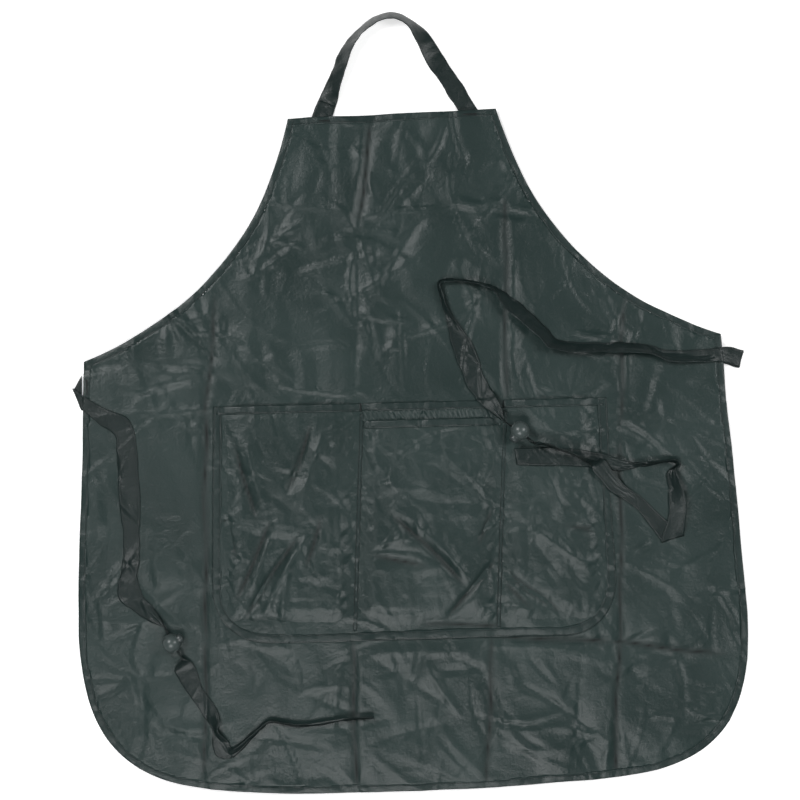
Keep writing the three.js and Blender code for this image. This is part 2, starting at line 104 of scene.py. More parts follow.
def makeLights():
    # each area light looks from its place at its aim
    for name, (place, size, watts, aim) in lights.items():
        data = bpy.data.lights.new(name, "AREA")
        data.shape = "RECTANGLE"
        data.size, data.size_y = size
        data.energy = watts
        lamp = bpy.data.objects.new(name, data)
        lamp.location = place
        lamp.rotation_euler = (Vector(aim) - Vector(place)).to_track_quat("-Z", "Y").to_euler()
        bpy.context.scene.collection.objects.link(lamp)
    world = bpy.data.worlds.new("studio")
    bpy.context.scene.world = world
    world.use_nodes = True
    background = world.node_tree.nodes["Background"]
    background.inputs["Color"].default_value = (1, 1, 1, 1)
    # white to look at, faint as a light
    ray = world.node_tree.nodes.new("ShaderNodeLightPath")
    glow = world.node_tree.nodes.new("ShaderNodeMath")
    glow.operation = "MULTIPLY_ADD"
    glow.inputs[1].default_value = skyGlow["asSeen"] - skyGlow["asLight"]
    glow.inputs[2].default_value = skyGlow["asLight"]
    world.node_tree.links.new(ray.outputs["Is Camera Ray"], glow.inputs[0])
    world.node_tree.links.new(glow.outputs[0], background.inputs["Strength"])
    bpy.context.scene.view_settings.view_transform = "Standard"


makeCamera()
makeLights()
print("camera and lights made")


def meshFrom(name, points, faces, uv=None):
    # a smooth mesh; uv, one pair for each point, is copied to the corners
    mesh = bpy.data.meshes.new(name)
    mesh.from_pydata(points.tolist(), [], [list(face) for face in faces])
    if uv is not None:
        layer = mesh.uv_layers.new(name="UVMap")
        corner = np.zeros(len(mesh.loops), np.int32)
        mesh.loops.foreach_get("vertex_index", corner)
        layer.data.foreach_set("uv", uv[corner].astype(np.float32).ravel())
    mesh.polygons.foreach_set("use_smooth", np.full(len(mesh.polygons), True))
    mesh.update()
    obj = bpy.data.objects.new(name, mesh)
    bpy.context.scene.collection.objects.link(obj)
    return obj


def settle(piece, finish, body=None, cadName=None):
    # the piece's finish, the body that it rides on and the CAD node that it stands for
    piece.data.materials.append(finish)
    if body:
        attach(piece, body)
    if cadName:
        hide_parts(cadName)
    return piece


def thicken(piece, thickness):
    # a wall on the inner side of a sheet
    wall = piece.modifiers.new("clothThickness", "SOLIDIFY")
    wall.thickness = thickness
    wall.offset = -1


def unit(vectors):
    return vectors / np.linalg.norm(vectors, axis=-1, keepdims=True)


def runOf(points):
    # how far each point lies along its line
    return np.r_[0, np.cumsum(np.linalg.norm(np.diff(points, axis=0), axis=1))]


def sampled(points, run, at):
    # the line's points at the given distances along it
    return np.stack([np.interp(at, run, points[:, k]) for k in range(points.shape[1])], -1)


def gridFaces(rows, columns, wrapColumns=False):
    # quad (r, c), (r, c+1), (r+1, c+1), (r+1, c); the last column may join the first
    r = np.arange(rows - 1)[:, None]
    c = np.arange(columns if wrapColumns else columns - 1)[None, :]
    right = (c + 1) % columns
    quads = [r * columns + c, r * columns + right, (r + 1) * columns + right, (r + 1) * columns + c]
    return np.stack(np.broadcast_arrays(*quads), -1).reshape(-1, 4)


def smoothStep(x, low, high):
    # an S-shaped rise from nought at low to one at high
    t = np.clip((x - low) / (high - low), 0, 1)
    return t * t * (3 - 2 * t)


def valueNoise(x, y, cell, seed):
    # random heights on a square lattice, joined by a quintic ease, from -1 to 1
    table = np.random.default_rng(seed).uniform(-1, 1, (256, 256))
    u, v = x / cell + 91.7, y / cell + 47.3
    i, j = np.floor(u).astype(int), np.floor(v).astype(int)
    fu, fv = u - i, v - j
    fu = fu**3 * (fu * (fu * 6 - 15) + 10)
    fv = fv**3 * (fv * (fv * 6 - 15) + 10)
    corner = lambda a, b: table[(i + a) % 256, (j + b) % 256]
    low = corner(0, 0) * (1 - fu) + corner(1, 0) * fu
    high = corner(0, 1) * (1 - fu) + corner(1, 1) * fu
    return low * (1 - fv) + high * fv


def ridges(x, y, cell, seed):
    # one minus the size of the noise: sharp crests where it crosses nought
    return 1 - np.abs(valueNoise(x, y, cell, seed)) * 1.6


def facets(x, y, cell, seed):
    # random heights on a skewed lattice, joined by flat triangles that meet in straight creases
    table = np.random.default_rng(seed).uniform(-1, 1, (256, 256))
    u, v = x / cell + 0.45 * y / cell + 91.7, 0.9 * y / cell + 47.3
    i, j = np.floor(u).astype(int), np.floor(v).astype(int)
    fu, fv = u - i, v - j
    corner = lambda a, b: table[(i + a) % 256, (j + b) % 256]
    near = corner(0, 0) * (1 - fu - fv) + corner(1, 0) * fu + corner(0, 1) * fv
    far = corner(1, 1) * (fu + fv - 1) + corner(1, 0) * (1 - fv) + corner(0, 1) * (1 - fu)
    return np.where(fu + fv < 1, near, far)


def throughPoints(points, steps):
    # Catmull-Rom through the rows of points, with the given steps to each span
    p = np.asarray(points, float)
    padded = np.vstack([2 * p[0] - p[1], p, 2 * p[-1] - p[-2]])
    t = (np.arange(steps) / steps)[None, :, None]
    a, b, c, d = (padded[k : len(p) - 1 + k][:, None, :] for k in range(4))
    square, cube = 2 * a - 5 * b + 4 * c - d, 3 * b - a - 3 * c + d
    spans = 0.5 * (2 * b + (c - a) * t + square * t**2 + cube * t**3)
    return np.vstack([spans.reshape(-1, p.shape[1]), p[-1:]])


def evenly(points, spacing):
    # the same line with its points a fixed distance apart
    run = runOf(points)
    count = max(2, int(round(run[-1] / spacing)) + 1)
    return sampled(points, run, np.linspace(0, run[-1], count))


def bezier(a, b, c, d, count):
    # a cubic curve from a to d, drawn towards b and then c
    t = np.linspace(0, 1, count)[:, None]
    a, b, c, d = (np.array(p, float) for p in (a, b, c, d))
    return (1 - t) ** 3 * a + 3 * (1 - t) ** 2 * t * b + 3 * (1 - t) * t**2 * c + t**3 * d


def leftNormal(points):
    # unit vectors to the left of the line's direction, in the plane
    way = unit(np.gradient(points[:, :2], axis=0))
    return np.stack([-way[:, 1], way[:, 0]], -1)


# the cut of the apron, in metres
cut = {
    "bibTop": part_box("bib_hem")[1].y,
    "bibHalf": 0.1195,
    "bibHeight": 0.2685,
    "waistHalf": 0.3655,
    "skirtHalf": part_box("skirt_binding")[1].x,
    "hemLine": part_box("skirt_binding")[0].y,
    "cornerStart": 0.3175,
    "cornerInset": 0.2035,
    "cornerRise": 0.003,
    "tape": 0.0085,
    "tapeThickness": 0.0019,
}
waistLine = cut["bibTop"] - cut["bibHeight"]


def halfOutline():
    # right half, from the bib's corner to the middle of the hem: armhole, straight side, corner
    bib, waist, skirt = cut["bibHalf"], cut["waistHalf"], cut["skirtHalf"]
    reach = waist - bib
    armhole = bezier(
        (bib, cut["bibTop"]),
        (bib + 0.119 * reach, waistLine + 0.59 * cut["bibHeight"]),
        (bib + 0.365 * reach, waistLine + 0.218 * cut["bibHeight"]),
        (waist, waistLine),
        90,
    )
    foot = waistLine - cut["cornerStart"]
    end = (skirt - cut["cornerInset"], cut["hemLine"] + cut["cornerRise"])
    drop = foot - end[1]
    corner = bezier(
        (skirt, foot),
        (skirt, foot - 0.856 * drop),
        (end[0] + 0.666 * cut["cornerInset"], end[1] + 0.043 * drop),
        end,
        70,
    )
    t = np.linspace(0, 1, 60)[1:, None]
    hem = np.hstack([end[0] * (1 - t), cut["hemLine"] + cut["cornerRise"] * (1 - t) ** 2])
    return armhole, np.vstack([[armhole[-1]], corner, hem])


def mirrored(points):
    # the same line on the left, run the other way
    return np.stack([-points[::-1, 0], points[::-1, 1]], -1)


armholeRight, skirtRight = halfOutline()
armholeLeft = mirrored(armholeRight)
skirtLine = np.vstack([skirtRight, mirrored(skirtRight)[1:]])
panelOutline = np.vstack([armholeRight, skirtLine[1:-1], armholeLeft])


def laid(x, y):
    # how the cloth lies: the left side is pulled out a little and its bottom corner up
    leftSide = smoothStep(-x, 0.05, 0.38)
    low = smoothStep(-y, 0.2, 0.44)
    shiftX = -0.003 * leftSide * smoothStep(-y, 0.0, 0.2) + 0.004 * leftSide * low
    shiftY = 0.0065 * leftSide * low - 0.0015 * smoothStep(x, 0.1, 0.35) * low
    waver = smoothStep(np.abs(x) + np.abs(y), 0.2, 0.4)
    shiftX = shiftX + 0.0009 * waver * valueNoise(x, y, 0.06, 5)
    shiftY = shiftY + 0.0009 * waver * valueNoise(x, y, 0.05, 6)
    return x + shiftX, y + shiftY


def insideOf(polygon, x, y):
    # a point is inside if a line from it to the right crosses the outline an odd number of times
    inside = np.zeros(x.shape, bool)
    for (ax, ay), (bx, by) in zip(polygon, np.roll(polygon, -1, axis=0)):
        crosses = (ay > y) != (by > y)
        if ay != by:
            inside ^= crosses & (x < ax + (y - ay) / (by - ay) * (bx - ax))
    return inside


wrinkles = {
    "soft": 0.0010,
    "crumple": 0.0025,
    "fine": 0.00022,
    "limit": 0.0074,
    "seed": 31,
}
# count, lengths, widths, heights and lean of the wrinkles strewn over the panel and the pocket
shortWrinkles = (400, (0.025, 0.13), (0.0022, 0.0075), (0.0006, 0.0027), -0.8)
longWrinkles = (170, (0.05, 0.20), (0.0012, 0.0030), (0.0006, 0.0017), -0.9)
pocketWrinkles = (130, (0.015, 0.07), (0.0014, 0.004), (0.0003, 0.0011), -1.1)
# packing folds deeper than this get painted shade along their valleys
valleyDepth = -1.4  # shallower packing folds aren't darkened

# the folds that it was packed with: x, y, x, y, height and half width in millimetres
packFolds = [
    (-24, 319, -43, 210, -3.4, 4), (-34, 316, -52, 205, 1.6, 7),
    (-45, 205, -48, 100, -1.2, 3), (-48, 150, -56, 12, -1.0, 3),
    (-72, -272, -75, -440, -1.9, 3), (-64, -290, -66, -430, 1.0, 5),
    (126, 226, 116, -4, -1.7, 3), (134, 200, 124, 20, 0.9, 5),
    (89, -279, 76, -441, -1.9, 3), (-212, 125, -229, -10, -1.6, 3),
    (-229, -10, -238, -262, -2.0, 3.5), (-238, -262, -248, -423, -1.7, 3),
    (257, 105, 246, -40, -1.5, 3), (245, -60, 236, -285, -1.8, 3),
    (236, -262, 221, -446, -2.0, 3), (228, -290, 214, -430, 1.0, 5),
    (-150, 238, -42, 216, 1.3, 3), (-42, 216, 120, 224, 1.5, 3),
    (120, 224, 174, 202, 1.2, 3), (-368, -4, -218, 2, 1.5, 3),
    (225, -9, 367, -49, 1.2, 3), (-378, -236, -246, -247, 1.2, 3),
    (87, -274, 224, -286, -3.2, 4.5), (224, -286, 350, -305, -2.8, 5),
    (90, -284, 224, -296, 1.6, 4), (-60, -290, 96, -286, 1.0, 4),
    (-47, -296, 26, -345, -1.2, 3),
]


def crease(x, y, x0, y0, x1, y1, height, halfWidth):
    # a sharp fold: height times e to minus the distance over the half width, fading at both ends
    ax, ay = (x1 - x0) * mm, (y1 - y0) * mm
    length = math.hypot(ax, ay)
    ax, ay = ax / length, ay / length
    dx, dy = x - x0 * mm, y - y0 * mm
    along, away = dx * ax + dy * ay, dy * ax - dx * ay
    away = away + 0.0012 * np.sin(along / 0.021 + x0)
    fade = smoothStep(along, -0.012, 0.018) * smoothStep(length - along, -0.012, 0.018)
    return 1.5 * height * mm * fade * np.exp(-np.abs(away) / (halfWidth * mm))


def foldShadeMask(x, y, folds):
    # how far a point lies in the bottom of a valley fold, as painted shade: the fold's own profile,
    # from nought to one
    mask = np.zeros_like(x)
    for x0, y0, x1, y1, height, halfWidth in folds:
        if height > valleyDepth:
            continue
        line = -crease(x, y, x0, y0, x1, y1, -1.0, 1.6) / (1.5 * mm)
        mask = np.maximum(mask, min(1, -height / 2.0) * line)
    return np.clip(mask, 0, 1)


def paintFoldShade(mesh, mask):
    # keeps the painted-shade mask as an attribute that the cloth's finish reads
    layer = mesh.attributes.new("foldShade", "FLOAT", "POINT")
    layer.data.foreach_set("value", mask.astype(np.float32))


def strokes(x, y, area, seed, count, lengths, widths, heights, lean):
    # many short soft wrinkles: a bell across each, a taper along it, at random places and angles
    draw = np.random.default_rng(seed)
    total = np.zeros_like(x)
    low, high = area
    for _ in range(count):
        cx, cy = draw.uniform(low[0], high[0]), draw.uniform(low[1], high[1])
        turn = lean + draw.normal(0, 0.75)
        length, width = draw.uniform(*lengths) / 2, draw.uniform(*widths)
        height = draw.uniform(*heights) * draw.choice([-1, 1])
        reach = length + 3 * width
        near = (np.abs(x - cx) < reach) & (np.abs(y - cy) < reach)
        dx, dy = x[near] - cx, y[near] - cy
        along = dx * math.cos(turn) + dy * math.sin(turn)
        away = dy * math.cos(turn) - dx * math.sin(turn)
        away = away - 6 * along**2 * draw.uniform(-1, 1)
        taper = np.clip(1 - (along / length) ** 2, 0, 1)
        side = np.where(away > 0, 1.0, 0.45)
        total[near] += height * taper * np.exp(-((away / (width * side)) ** 2))
    return total


def quilt(x, y):
    # the cloth tips a little from fold to fold: straight slopes between heights at the folds
    acrossAt = np.array([-0.39, -0.236, -0.048, 0.112, 0.241, 0.39])
    acrossHigh = np.array([0.2, 2.0, 0.1, 1.9, 0.2, 1.6]) * mm
    upAt = np.array([-0.45, -0.286, -0.004, 0.224, 0.33])
    upHigh = np.array([1.1, 0.0, 1.5, 0.1, 1.3]) * mm
    bendX = x + 0.010 * y + 0.003 * valueNoise(x, y, 0.11, 21)
    bendY = y + 0.003 * valueNoise(x, y, 0.11, 22)
    return np.interp(bendX, acrossAt, acrossHigh) + np.interp(bendY, upAt, upHigh) - 0.0016


lockHeading = {"left": -63.1, "right": -39.4}  # the way that each strap runs through its lock


def calmNear(x, y, least=0.25):
    # small along the track of each cord lock, one elsewhere
    calm = np.ones_like(x)
    for side, heading in lockHeading.items():
        low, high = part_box(f"toggle_{side}_barrel")
        dx, dy = x - (low.x + high.x) / 2, y - (low.y + high.y) / 2
        c, s = math.cos(math.radians(heading)), math.sin(math.radians(heading))
        along = dx * c + dy * s
        beyond = np.maximum(np.abs(along) - 0.012, 0)
        away = np.hypot(beyond, dy * c - dx * s)
        calm = calm * (least + (1 - least) * smoothStep(away, 0.009, 0.028))
    return calm


def crumple(x, y):
    # soft swells, crumpled ridges, random wrinkles and the packing folds, kept under a limit
    warpX = x + 0.018 * valueNoise(x, y, 0.05, 1)
    warpY = y + 0.018 * valueNoise(x, y, 0.05, 2)
    h = wrinkles["soft"] * valueNoise(x, y, 0.12, 3) + 0.0020 * facets(x, y, 0.13, 14)
    patchy = 0.75 + 0.5 * valueNoise(x, y, 0.16, 9)
    h = h + wrinkles["crumple"] * facets(warpX, warpY, 0.058, 4) * patchy
    turnedX, turnedY = warpY + 0.7 * warpX, warpX - 0.7 * warpY
    h = h + wrinkles["crumple"] * 0.5 * facets(turnedX, turnedY, 0.031, 7)
    h = h + wrinkles["fine"] * (ridges(warpX, 1.4 * warpY, 0.017, 8) - 0.5)
    area = (-0.385, -0.45), (0.385, 0.33)
    h = h + strokes(x, y, area, wrinkles["seed"], *shortWrinkles)
    h = h + strokes(x, y, area, wrinkles["seed"] + 1, *longWrinkles)
    h = h + quilt(x, y)
    for fold in packFolds:
        h = h + crease(x, y, *fold)
    h = h * calmNear(x, y)
    limit = wrinkles["limit"]
    return 0.5 * limit * (1 + np.tanh(2 * h / limit))


panelLift = 0.0008


def panelHeight(x, y):
    # the wrinkles over the cloth's own thickness
    return panelLift + crumple(x, y)


# the pocket's own axes are p across and q up from the middle of the mouth
pocket = {
    "centre": (0.006, waistLine - 0.0626),
    "tilt": math.radians(-1.1),
    "topHalf": 0.226,
    "bottomHalf": 0.233,
    "height": 0.273,
    "radius": 0.062,
    "tape": 0.0095,
    "dividers": (-0.0565, 0.108),
    "lean": 0.0155,
    "slack": 0.020,
    "hem": 0.009,
    "hemThickness": 0.0013,
    "binding": 0.0105,
    "bindingThickness": 0.0021,
    "seam": 0.0042,
    "seamThickness": 0.0011,
    "pitch": 0.0023,
    "loft": 0.0042,  # how far each compartment stands off its seams
    "highest": 0.0085,
    "follow": 0.55,  # share of the panel's wrinkles that it shows
}


def fromPocket(p, q):
    # turned by the tilt and moved to the middle of the mouth
    c, s = math.cos(pocket["tilt"]), math.sin(pocket["tilt"])
    return pocket["centre"][0] + p * c - q * s, pocket["centre"][1] + p * s + q * c


def dividerAt(n, q):
    # each divider leans to the left on its way down
    return pocket["dividers"][n] + q / pocket["height"] * pocket["lean"]


# gathers and drag lines of the pocket: x, y, x, y, height, half width in millimetres
pocketFolds = [
    (-110, -26, -136, -93, -2.8, 3), (-96, -28, -122, -110, 1.6, 6),
    (-194, -48, -177, -124, -2.2, 3.5), (-182, -40, -168, -110, 1.4, 6),
    (-212, -116, -202, -168, -1.9, 2.5), (-133, -154, -188, -235, -3.2, 4.5),
    (-120, -150, -172, -238, 2.2, 5), (-103, -133, -120, -184, -2.2, 3),
    (-161, -136, -199, -215, -2.0, 3), (-150, -130, -186, -212, 1.5, 5),
    (-140, -170, -150, -250, 1.6, 5), (-80, -130, -84, -240, 1.4, 6),
    (-17, -131, 57, -209, -2.4, 2.5), (-10, -124, 64, -202, 1.6, 4),
    (-36, -176, 10, -189, -2.0, 4), (93, -189, 42, -248, -2.8, 4),
    (93, -130, 80, -164, -2.0, 3), (102, -196, 163, -248, -3.0, 4),
    (106, -214, 132, -240, -1.6, 2.5), (160, -90, 178, -140, 1.8, 5),
    (184, -151, 224, -158, -1.8, 2.5), (40, -60, 90, -110, 1.2, 5),
    (-40, -60, -10, -110, 1.1, 6), (10, -70, 20, -100, 1.0, 5),
    (140, -150, 200, -200, 1.5, 7), (-205, -246, -70, -262, -2.2, 5),
    (10, -258, 100, -262, -1.8, 5),
]


def pocketHeight(x, y, p, q):
    # three low pillows pinned at the seams, with the drag lines and their own small crumple
    foot = -pocket["height"]
    side = pocket["topHalf"] - q / pocket["height"] * (pocket["bottomHalf"] - pocket["topHalf"])
    seams = [-side + pocket["tape"], dividerAt(0, q), dividerAt(1, q), side - pocket["tape"]]
    away = np.min([np.abs(p - s) for s in seams], axis=0)
    rise = smoothStep(away, 0.0006, 0.026) * smoothStep(q, foot + 0.010, foot + 0.042)
    h = pocket["loft"] * rise
    for fold in pocketFolds:
        h = h + 1.1 * crease(x, y, *fold) * smoothStep(away, 0.0, 0.008)
    h = h + 0.0007 * rise * (ridges(x + 0.012 * valueNoise(x, y, 0.03, 61), y, 0.034, 62) - 0.4)
    h = h + 0.0004 * (ridges(1.5 * x, y, 0.015, 63) - 0.5)
    area = (-0.23, -0.28), (0.24, 0.0)
    h = h + strokes(x, y, area, 77, *pocketWrinkles) * (0.3 + 0.7 * rise)
    # puckers that fan out of the seams
    slant = (q + 0.8 * away) / 0.018 * 2 * math.pi + 5 * valueNoise(p, q, 0.04, 64)
    strength = 0.0011 * smoothStep(valueNoise(p, q, 0.06, 65), -0.4, 0.5)
    seamPull = strength * np.exp(-away / 0.011) * smoothStep(away, 0.0, 0.003) * np.sin(slant)
    return np.clip(h + seamPull, -0.0002, pocket["highest"])


def pocketSurface(x, y, p, q):
    # the pocket's own height over a share of the panel's wrinkles
    mouth = smoothStep(q, -0.02, 0.0)
    rise = pocketHeight(x, y, p, q) * (1 - 0.25 * mouth) * calmNear(x, y, 0.3)
    return panelLift + pocket["follow"] * crumple(x, y) + 0.0016 + rise


def ground(x, y):
    # the top of the cloth under a point: pocket, panel, or the table beyond the outline
    c, s = math.cos(pocket["tilt"]), math.sin(pocket["tilt"])
    dx, dy = x - pocket["centre"][0], y - pocket["centre"][1]
    p, q = dx * c + dy * s, dy * c - dx * s
    onPatch = (np.abs(p) < pocket["topHalf"]) & (q < 0.001) & (q > -pocket["height"])
    onPocketTop = pocketSurface(x, y, p, np.clip(q, -pocket["height"], 0)) + 0.0012
    top = np.where(onPatch, onPocketTop, panelHeight(x, y) + 0.0003)
    return np.where(insideOf(panelOutline, x, y), top, 0.0)


def newGroup(name, inputs, outputs):
    # an empty group with named sockets, and its two end nodes
    group = bpy.data.node_groups.new(name, "ShaderNodeTree")
    for label, kind, value in inputs:
        socket = group.interface.new_socket(label, in_out="INPUT", socket_type=kind)
        if value is not None:
            socket.default_value = value
    for label, kind in outputs:
        group.interface.new_socket(label, in_out="OUTPUT", socket_type=kind)
    return group, group.nodes.new("NodeGroupInput"), group.nodes.new("NodeGroupOutput")


def node(tree, kind, links=(), **settings):
    # adds a node, sets its fields and plain inputs, and links (input, socket) pairs
    made = tree.nodes.new(kind)
    for key, value in settings.items():
        if hasattr(made, key):
            setattr(made, key, value)
        else:
            made.inputs[key.replace("_", " ")].default_value = value
    for key, socket in links:
        tree.links.new(socket, made.inputs[key])
    return made


def math2(tree, operation, a, b=0.0):
    # a Math node; each of a and b is a number or a socket
    made = tree.nodes.new("ShaderNodeMath")
    made.operation = operation
    for k, value in enumerate((a, b)):
        if isinstance(value, (int, float)):
            made.inputs[k].default_value = value
        else:
            tree.links.new(value, made.inputs[k])
    return made.outputs[0]


def noiseOf(tree, vector, scale, **settings):
    # soft noise with the given number of swells to a metre
    made = node(tree, "ShaderNodeTexNoise", [("Vector", vector)], Scale=scale, **settings)
    return made.outputs["Fac"]


def spread(tree, value, low, high, fromLow=0.0, fromHigh=1.0):
    # a value carried from one range to another
    ends = {"From_Min": fromLow, "From_Max": fromHigh, "To_Min": low, "To_Max": high}
    return node(tree, "ShaderNodeMapRange", [("Value", value)], **ends).outputs[0]


def tinted(tree, colour, factor):
    # a colour made lighter or darker by a factor
    links = [(0, colour), ("Scale", factor)]
    return node(tree, "ShaderNodeVectorMath", links, operation="SCALE").outputs[0]


def bumpOf(tree, height, distance, under=None, **settings):
    # a height turned into a tilt of the surface, on top of the bump under it
    links = [("Height", height)] + ([("Normal", under)] if under else [])
    return node(tree, "ShaderNodeBump", links, Distance=distance, **settings)


vectorIn = ("Vector", "NodeSocketVector", None)
colourOut = ("Color", "NodeSocketColor")
roughnessOut = ("Roughness", "NodeSocketFloat")
normalOut = ("Normal", "NodeSocketVector")


def makeWeaveGroup():
    # plain weave: threads over and under along both directions, with crinkles, worn patches and
    # painted shade along the valley folds
    t, given, out = newGroup(
        "nylonWeave",
        [
            vectorIn,
            ("Base", "NodeSocketColor", (0.05, 0.06, 0.06, 1)),
            ("Pitch", "NodeSocketFloat", 0.00042),
            ("Crinkle", "NodeSocketFloat", 1.0),
            ("FoldShade", "NodeSocketFloat", 0.0),
        ],
        [colourOut, roughnessOut, normalOut],
    )
    vector, fold = given.outputs["Vector"], given.outputs["FoldShade"]
    split = node(t, "ShaderNodeSeparateXYZ", [("Vector", vector)])
    frequency = math2(t, "DIVIDE", 2 * math.pi, given.outputs["Pitch"])
    warp = math2(t, "SINE", math2(t, "MULTIPLY", split.outputs["X"], frequency))
    weft = math2(t, "SINE", math2(t, "MULTIPLY", split.outputs["Y"], frequency))
    weave = math2(t, "MULTIPLY", warp, weft)
    crinkle = noiseOf(t, vector, 105.0, Detail=4.0, Roughness=0.55)
    ridge = math2(t, "ABSOLUTE", math2(t, "SUBTRACT", crinkle, 0.5))
    fineCrinkle = noiseOf(t, vector, 330.0, Detail=2.0)
    patches = noiseOf(t, vector, 9.0, Detail=3.0)
    slub = noiseOf(t, vector, 900.0, Detail=1.0)
    shade = spread(t, patches, 0.88, 1.12, 0.3, 0.7)
    speck = spread(t, slub, 0.93, 1.07)
    # painted shade: darker along the valley folds, and duller
    unshadedShare = math2(t, "SUBTRACT", 1.0, math2(t, "MULTIPLY", fold, 0.9))
    factor = math2(t, "MULTIPLY", math2(t, "MULTIPLY", shade, speck), unshadedShare)
    t.links.new(tinted(t, given.outputs["Base"], factor), out.inputs["Color"])
    rough = spread(t, patches, 0.29, 0.39, 0.3, 0.7)
    dulled = math2(t, "ADD", rough, math2(t, "MULTIPLY", fold, 0.4))
    t.links.new(dulled, out.inputs["Roughness"])
    folds = bumpOf(t, ridge, 0.006)
    strength = math2(t, "MULTIPLY", given.outputs["Crinkle"], 0.12)
    t.links.new(strength, folds.inputs["Strength"])
    small = bumpOf(t, fineCrinkle, 0.0012, folds.outputs[0], Strength=0.2)
    threads = bumpOf(t, weave, 0.00005, small.outputs[0], Strength=0.25)
    t.links.new(threads.outputs[0], out.inputs["Normal"])
    return t


def makeTwistGroup():
    # sewing thread: slanted plies and a little fuzz
    t, given, out = newGroup(
        "threadTwist",
        [vectorIn, ("Base", "NodeSocketColor", (0.02, 0.025, 0.025, 1))],
        [colourOut, normalOut],
    )
    links = [("Vector", given.outputs["Vector"])]
    plies = node(t, "ShaderNodeTexWave", links, Scale=700.0, Distortion=1.0)
    plies.bands_direction = "DIAGONAL"
    fuzz = noiseOf(t, given.outputs["Vector"], 2500.0)
    shade = spread(t, plies.outputs["Fac"], 0.75, 1.3)
    t.links.new(tinted(t, given.outputs["Base"], shade), out.inputs["Color"])
    height = math2(t, "ADD", plies.outputs["Fac"], fuzz)
    bump = bumpOf(t, height, 0.0001, Strength=0.6)
    t.links.new(bump.outputs[0], out.inputs["Normal"])
    return t


def makePlasticGroup():
    # moulded plastic: a faint flow in the colour, hairline scuffs in the gloss
    t, given, out = newGroup(
        "mouldedPlastic",
        [
            vectorIn,
            ("Base", "NodeSocketColor", (0.05, 0.05, 0.05, 1)),
            ("Gloss", "NodeSocketFloat", 0.2),
        ],
        [colourOut, roughnessOut, normalOut],
    )
    flow = noiseOf(t, given.outputs["Vector"], 160.0, Detail=3.0, Distortion=1.5)
    scuff = noiseOf(t, given.outputs["Vector"], 1400.0, Detail=4.0)
    shade = spread(t, flow, 0.85, 1.2)
    t.links.new(tinted(t, given.outputs["Base"], shade), out.inputs["Color"])
    rough = math2(t, "ADD", given.outputs["Gloss"], math2(t, "MULTIPLY", scuff, 0.12))
    t.links.new(rough, out.inputs["Roughness"])
    bump = bumpOf(t, scuff, 0.00006, Strength=0.35)
    t.links.new(bump.outputs[0], out.inputs["Normal"])
    return t


weaveGroup, twistGroup, plasticGroup = makeWeaveGroup(), makeTwistGroup(), makePlasticGroup()


def material(name, group, settings, vector="Object", specular=0.5, metallic=0.0):
    # a Principled surface that takes its colour, roughness and normal from a group
    made = bpy.data.materials.new(name)
    made.use_nodes = True
    tree = made.node_tree
    surface = tree.nodes["Principled BSDF"]
    place = tree.nodes.new("ShaderNodeTexCoord")
    effect = tree.nodes.new("ShaderNodeGroup")
    effect.node_tree = group
    tree.links.new(place.outputs[vector], effect.inputs["Vector"])
    for key, value in settings.items():
        effect.inputs[key].default_value = value
    # painted shade along the valley folds, read from the mesh's attribute
    if "FoldShade" in effect.inputs:
        painted = tree.nodes.new("ShaderNodeAttribute")
        painted.attribute_name = "foldShade"
        tree.links.new(painted.outputs["Fac"], effect.inputs["FoldShade"])
    tree.links.new(effect.outputs["Color"], surface.inputs["Base Color"])
    tree.links.new(effect.outputs["Normal"], surface.inputs["Normal"])
    if "Roughness" in effect.outputs:
        tree.links.new(effect.outputs["Roughness"], surface.inputs["Roughness"])
    else:
        surface.inputs["Roughness"].default_value = 0.7
    surface.inputs["Specular IOR Level"].default_value = specular
    surface.inputs["Metallic"].default_value = metallic
    return made


finishes = {
    "cloth": (0.0190, 0.0350, 0.0330, 1),
    "tape": (0.0150, 0.0290, 0.0275, 1),
    "strap": (0.0095, 0.0185, 0.0178, 1),
    "thread": (0.010, 0.014, 0.0135, 1),
    "ball": (0.056, 0.074, 0.072, 1),
    "button": (0.040, 0.052, 0.052, 1),
    "wire": (0.45, 0.46, 0.47, 1),
}
weave = lambda base, crinkle: {"Base": finishes[base], "Crinkle": crinkle}
plastic = lambda base, gloss: {"Base": finishes[base], "Gloss": gloss}
cloth = material("nylonCloth", weaveGroup, weave("cloth", 1.0), specular=0.36)
tape = material("nylonTape", weaveGroup, weave("tape", 0.7), specular=0.36)
strapCloth = material("nylonStrap", weaveGroup, weave("strap", 0.6), vector="UV", specular=0.35)
thread = material("sewingThread", twistGroup, {"Base": finishes["thread"]})
ballPlastic = material("ballPlastic", plasticGroup, plastic("ball", 0.26))
buttonPlastic = material("buttonPlastic", plasticGroup, plastic("button", 0.26))
springWire = material("springWire", plasticGroup, plastic("wire", 0.25), metallic=1.0)
print("finishes made")


stitch = {"pitch": 0.0032, "length": 0.0024, "radius": 0.00022, "clearOfLock": 0.027}
tack = {"pitch": 0.0011, "width": 0.0021, "radius": 0.00028, "step": 0.0005, "proud": 0.0011}


def tubeRings(line, first, second, radius, sides):
    # a ring round each point of a line: first times cosine plus second times sine
    turn = np.arange(sides) / sides * 2 * math.pi
    cosine, sine = np.cos(turn)[:, None], np.sin(turn)[:, None]
    ring = first[..., None, :] * cosine + second[..., None, :] * sine
    return (line[..., None, :] + ring * radius).reshape(-1, 3)


def threadFaces(rings):
    # a six-sided tube, closed by two quads at each end
    n = 6 * (rings - 1)
    caps = [[0, 5, 4, 3], [0, 3, 2, 1], [n, n + 1, n + 2, n + 3], [n, n + 3, n + 4, n + 5]]
    return np.vstack([gridFaces(rings, 6, wrapColumns=True), caps])


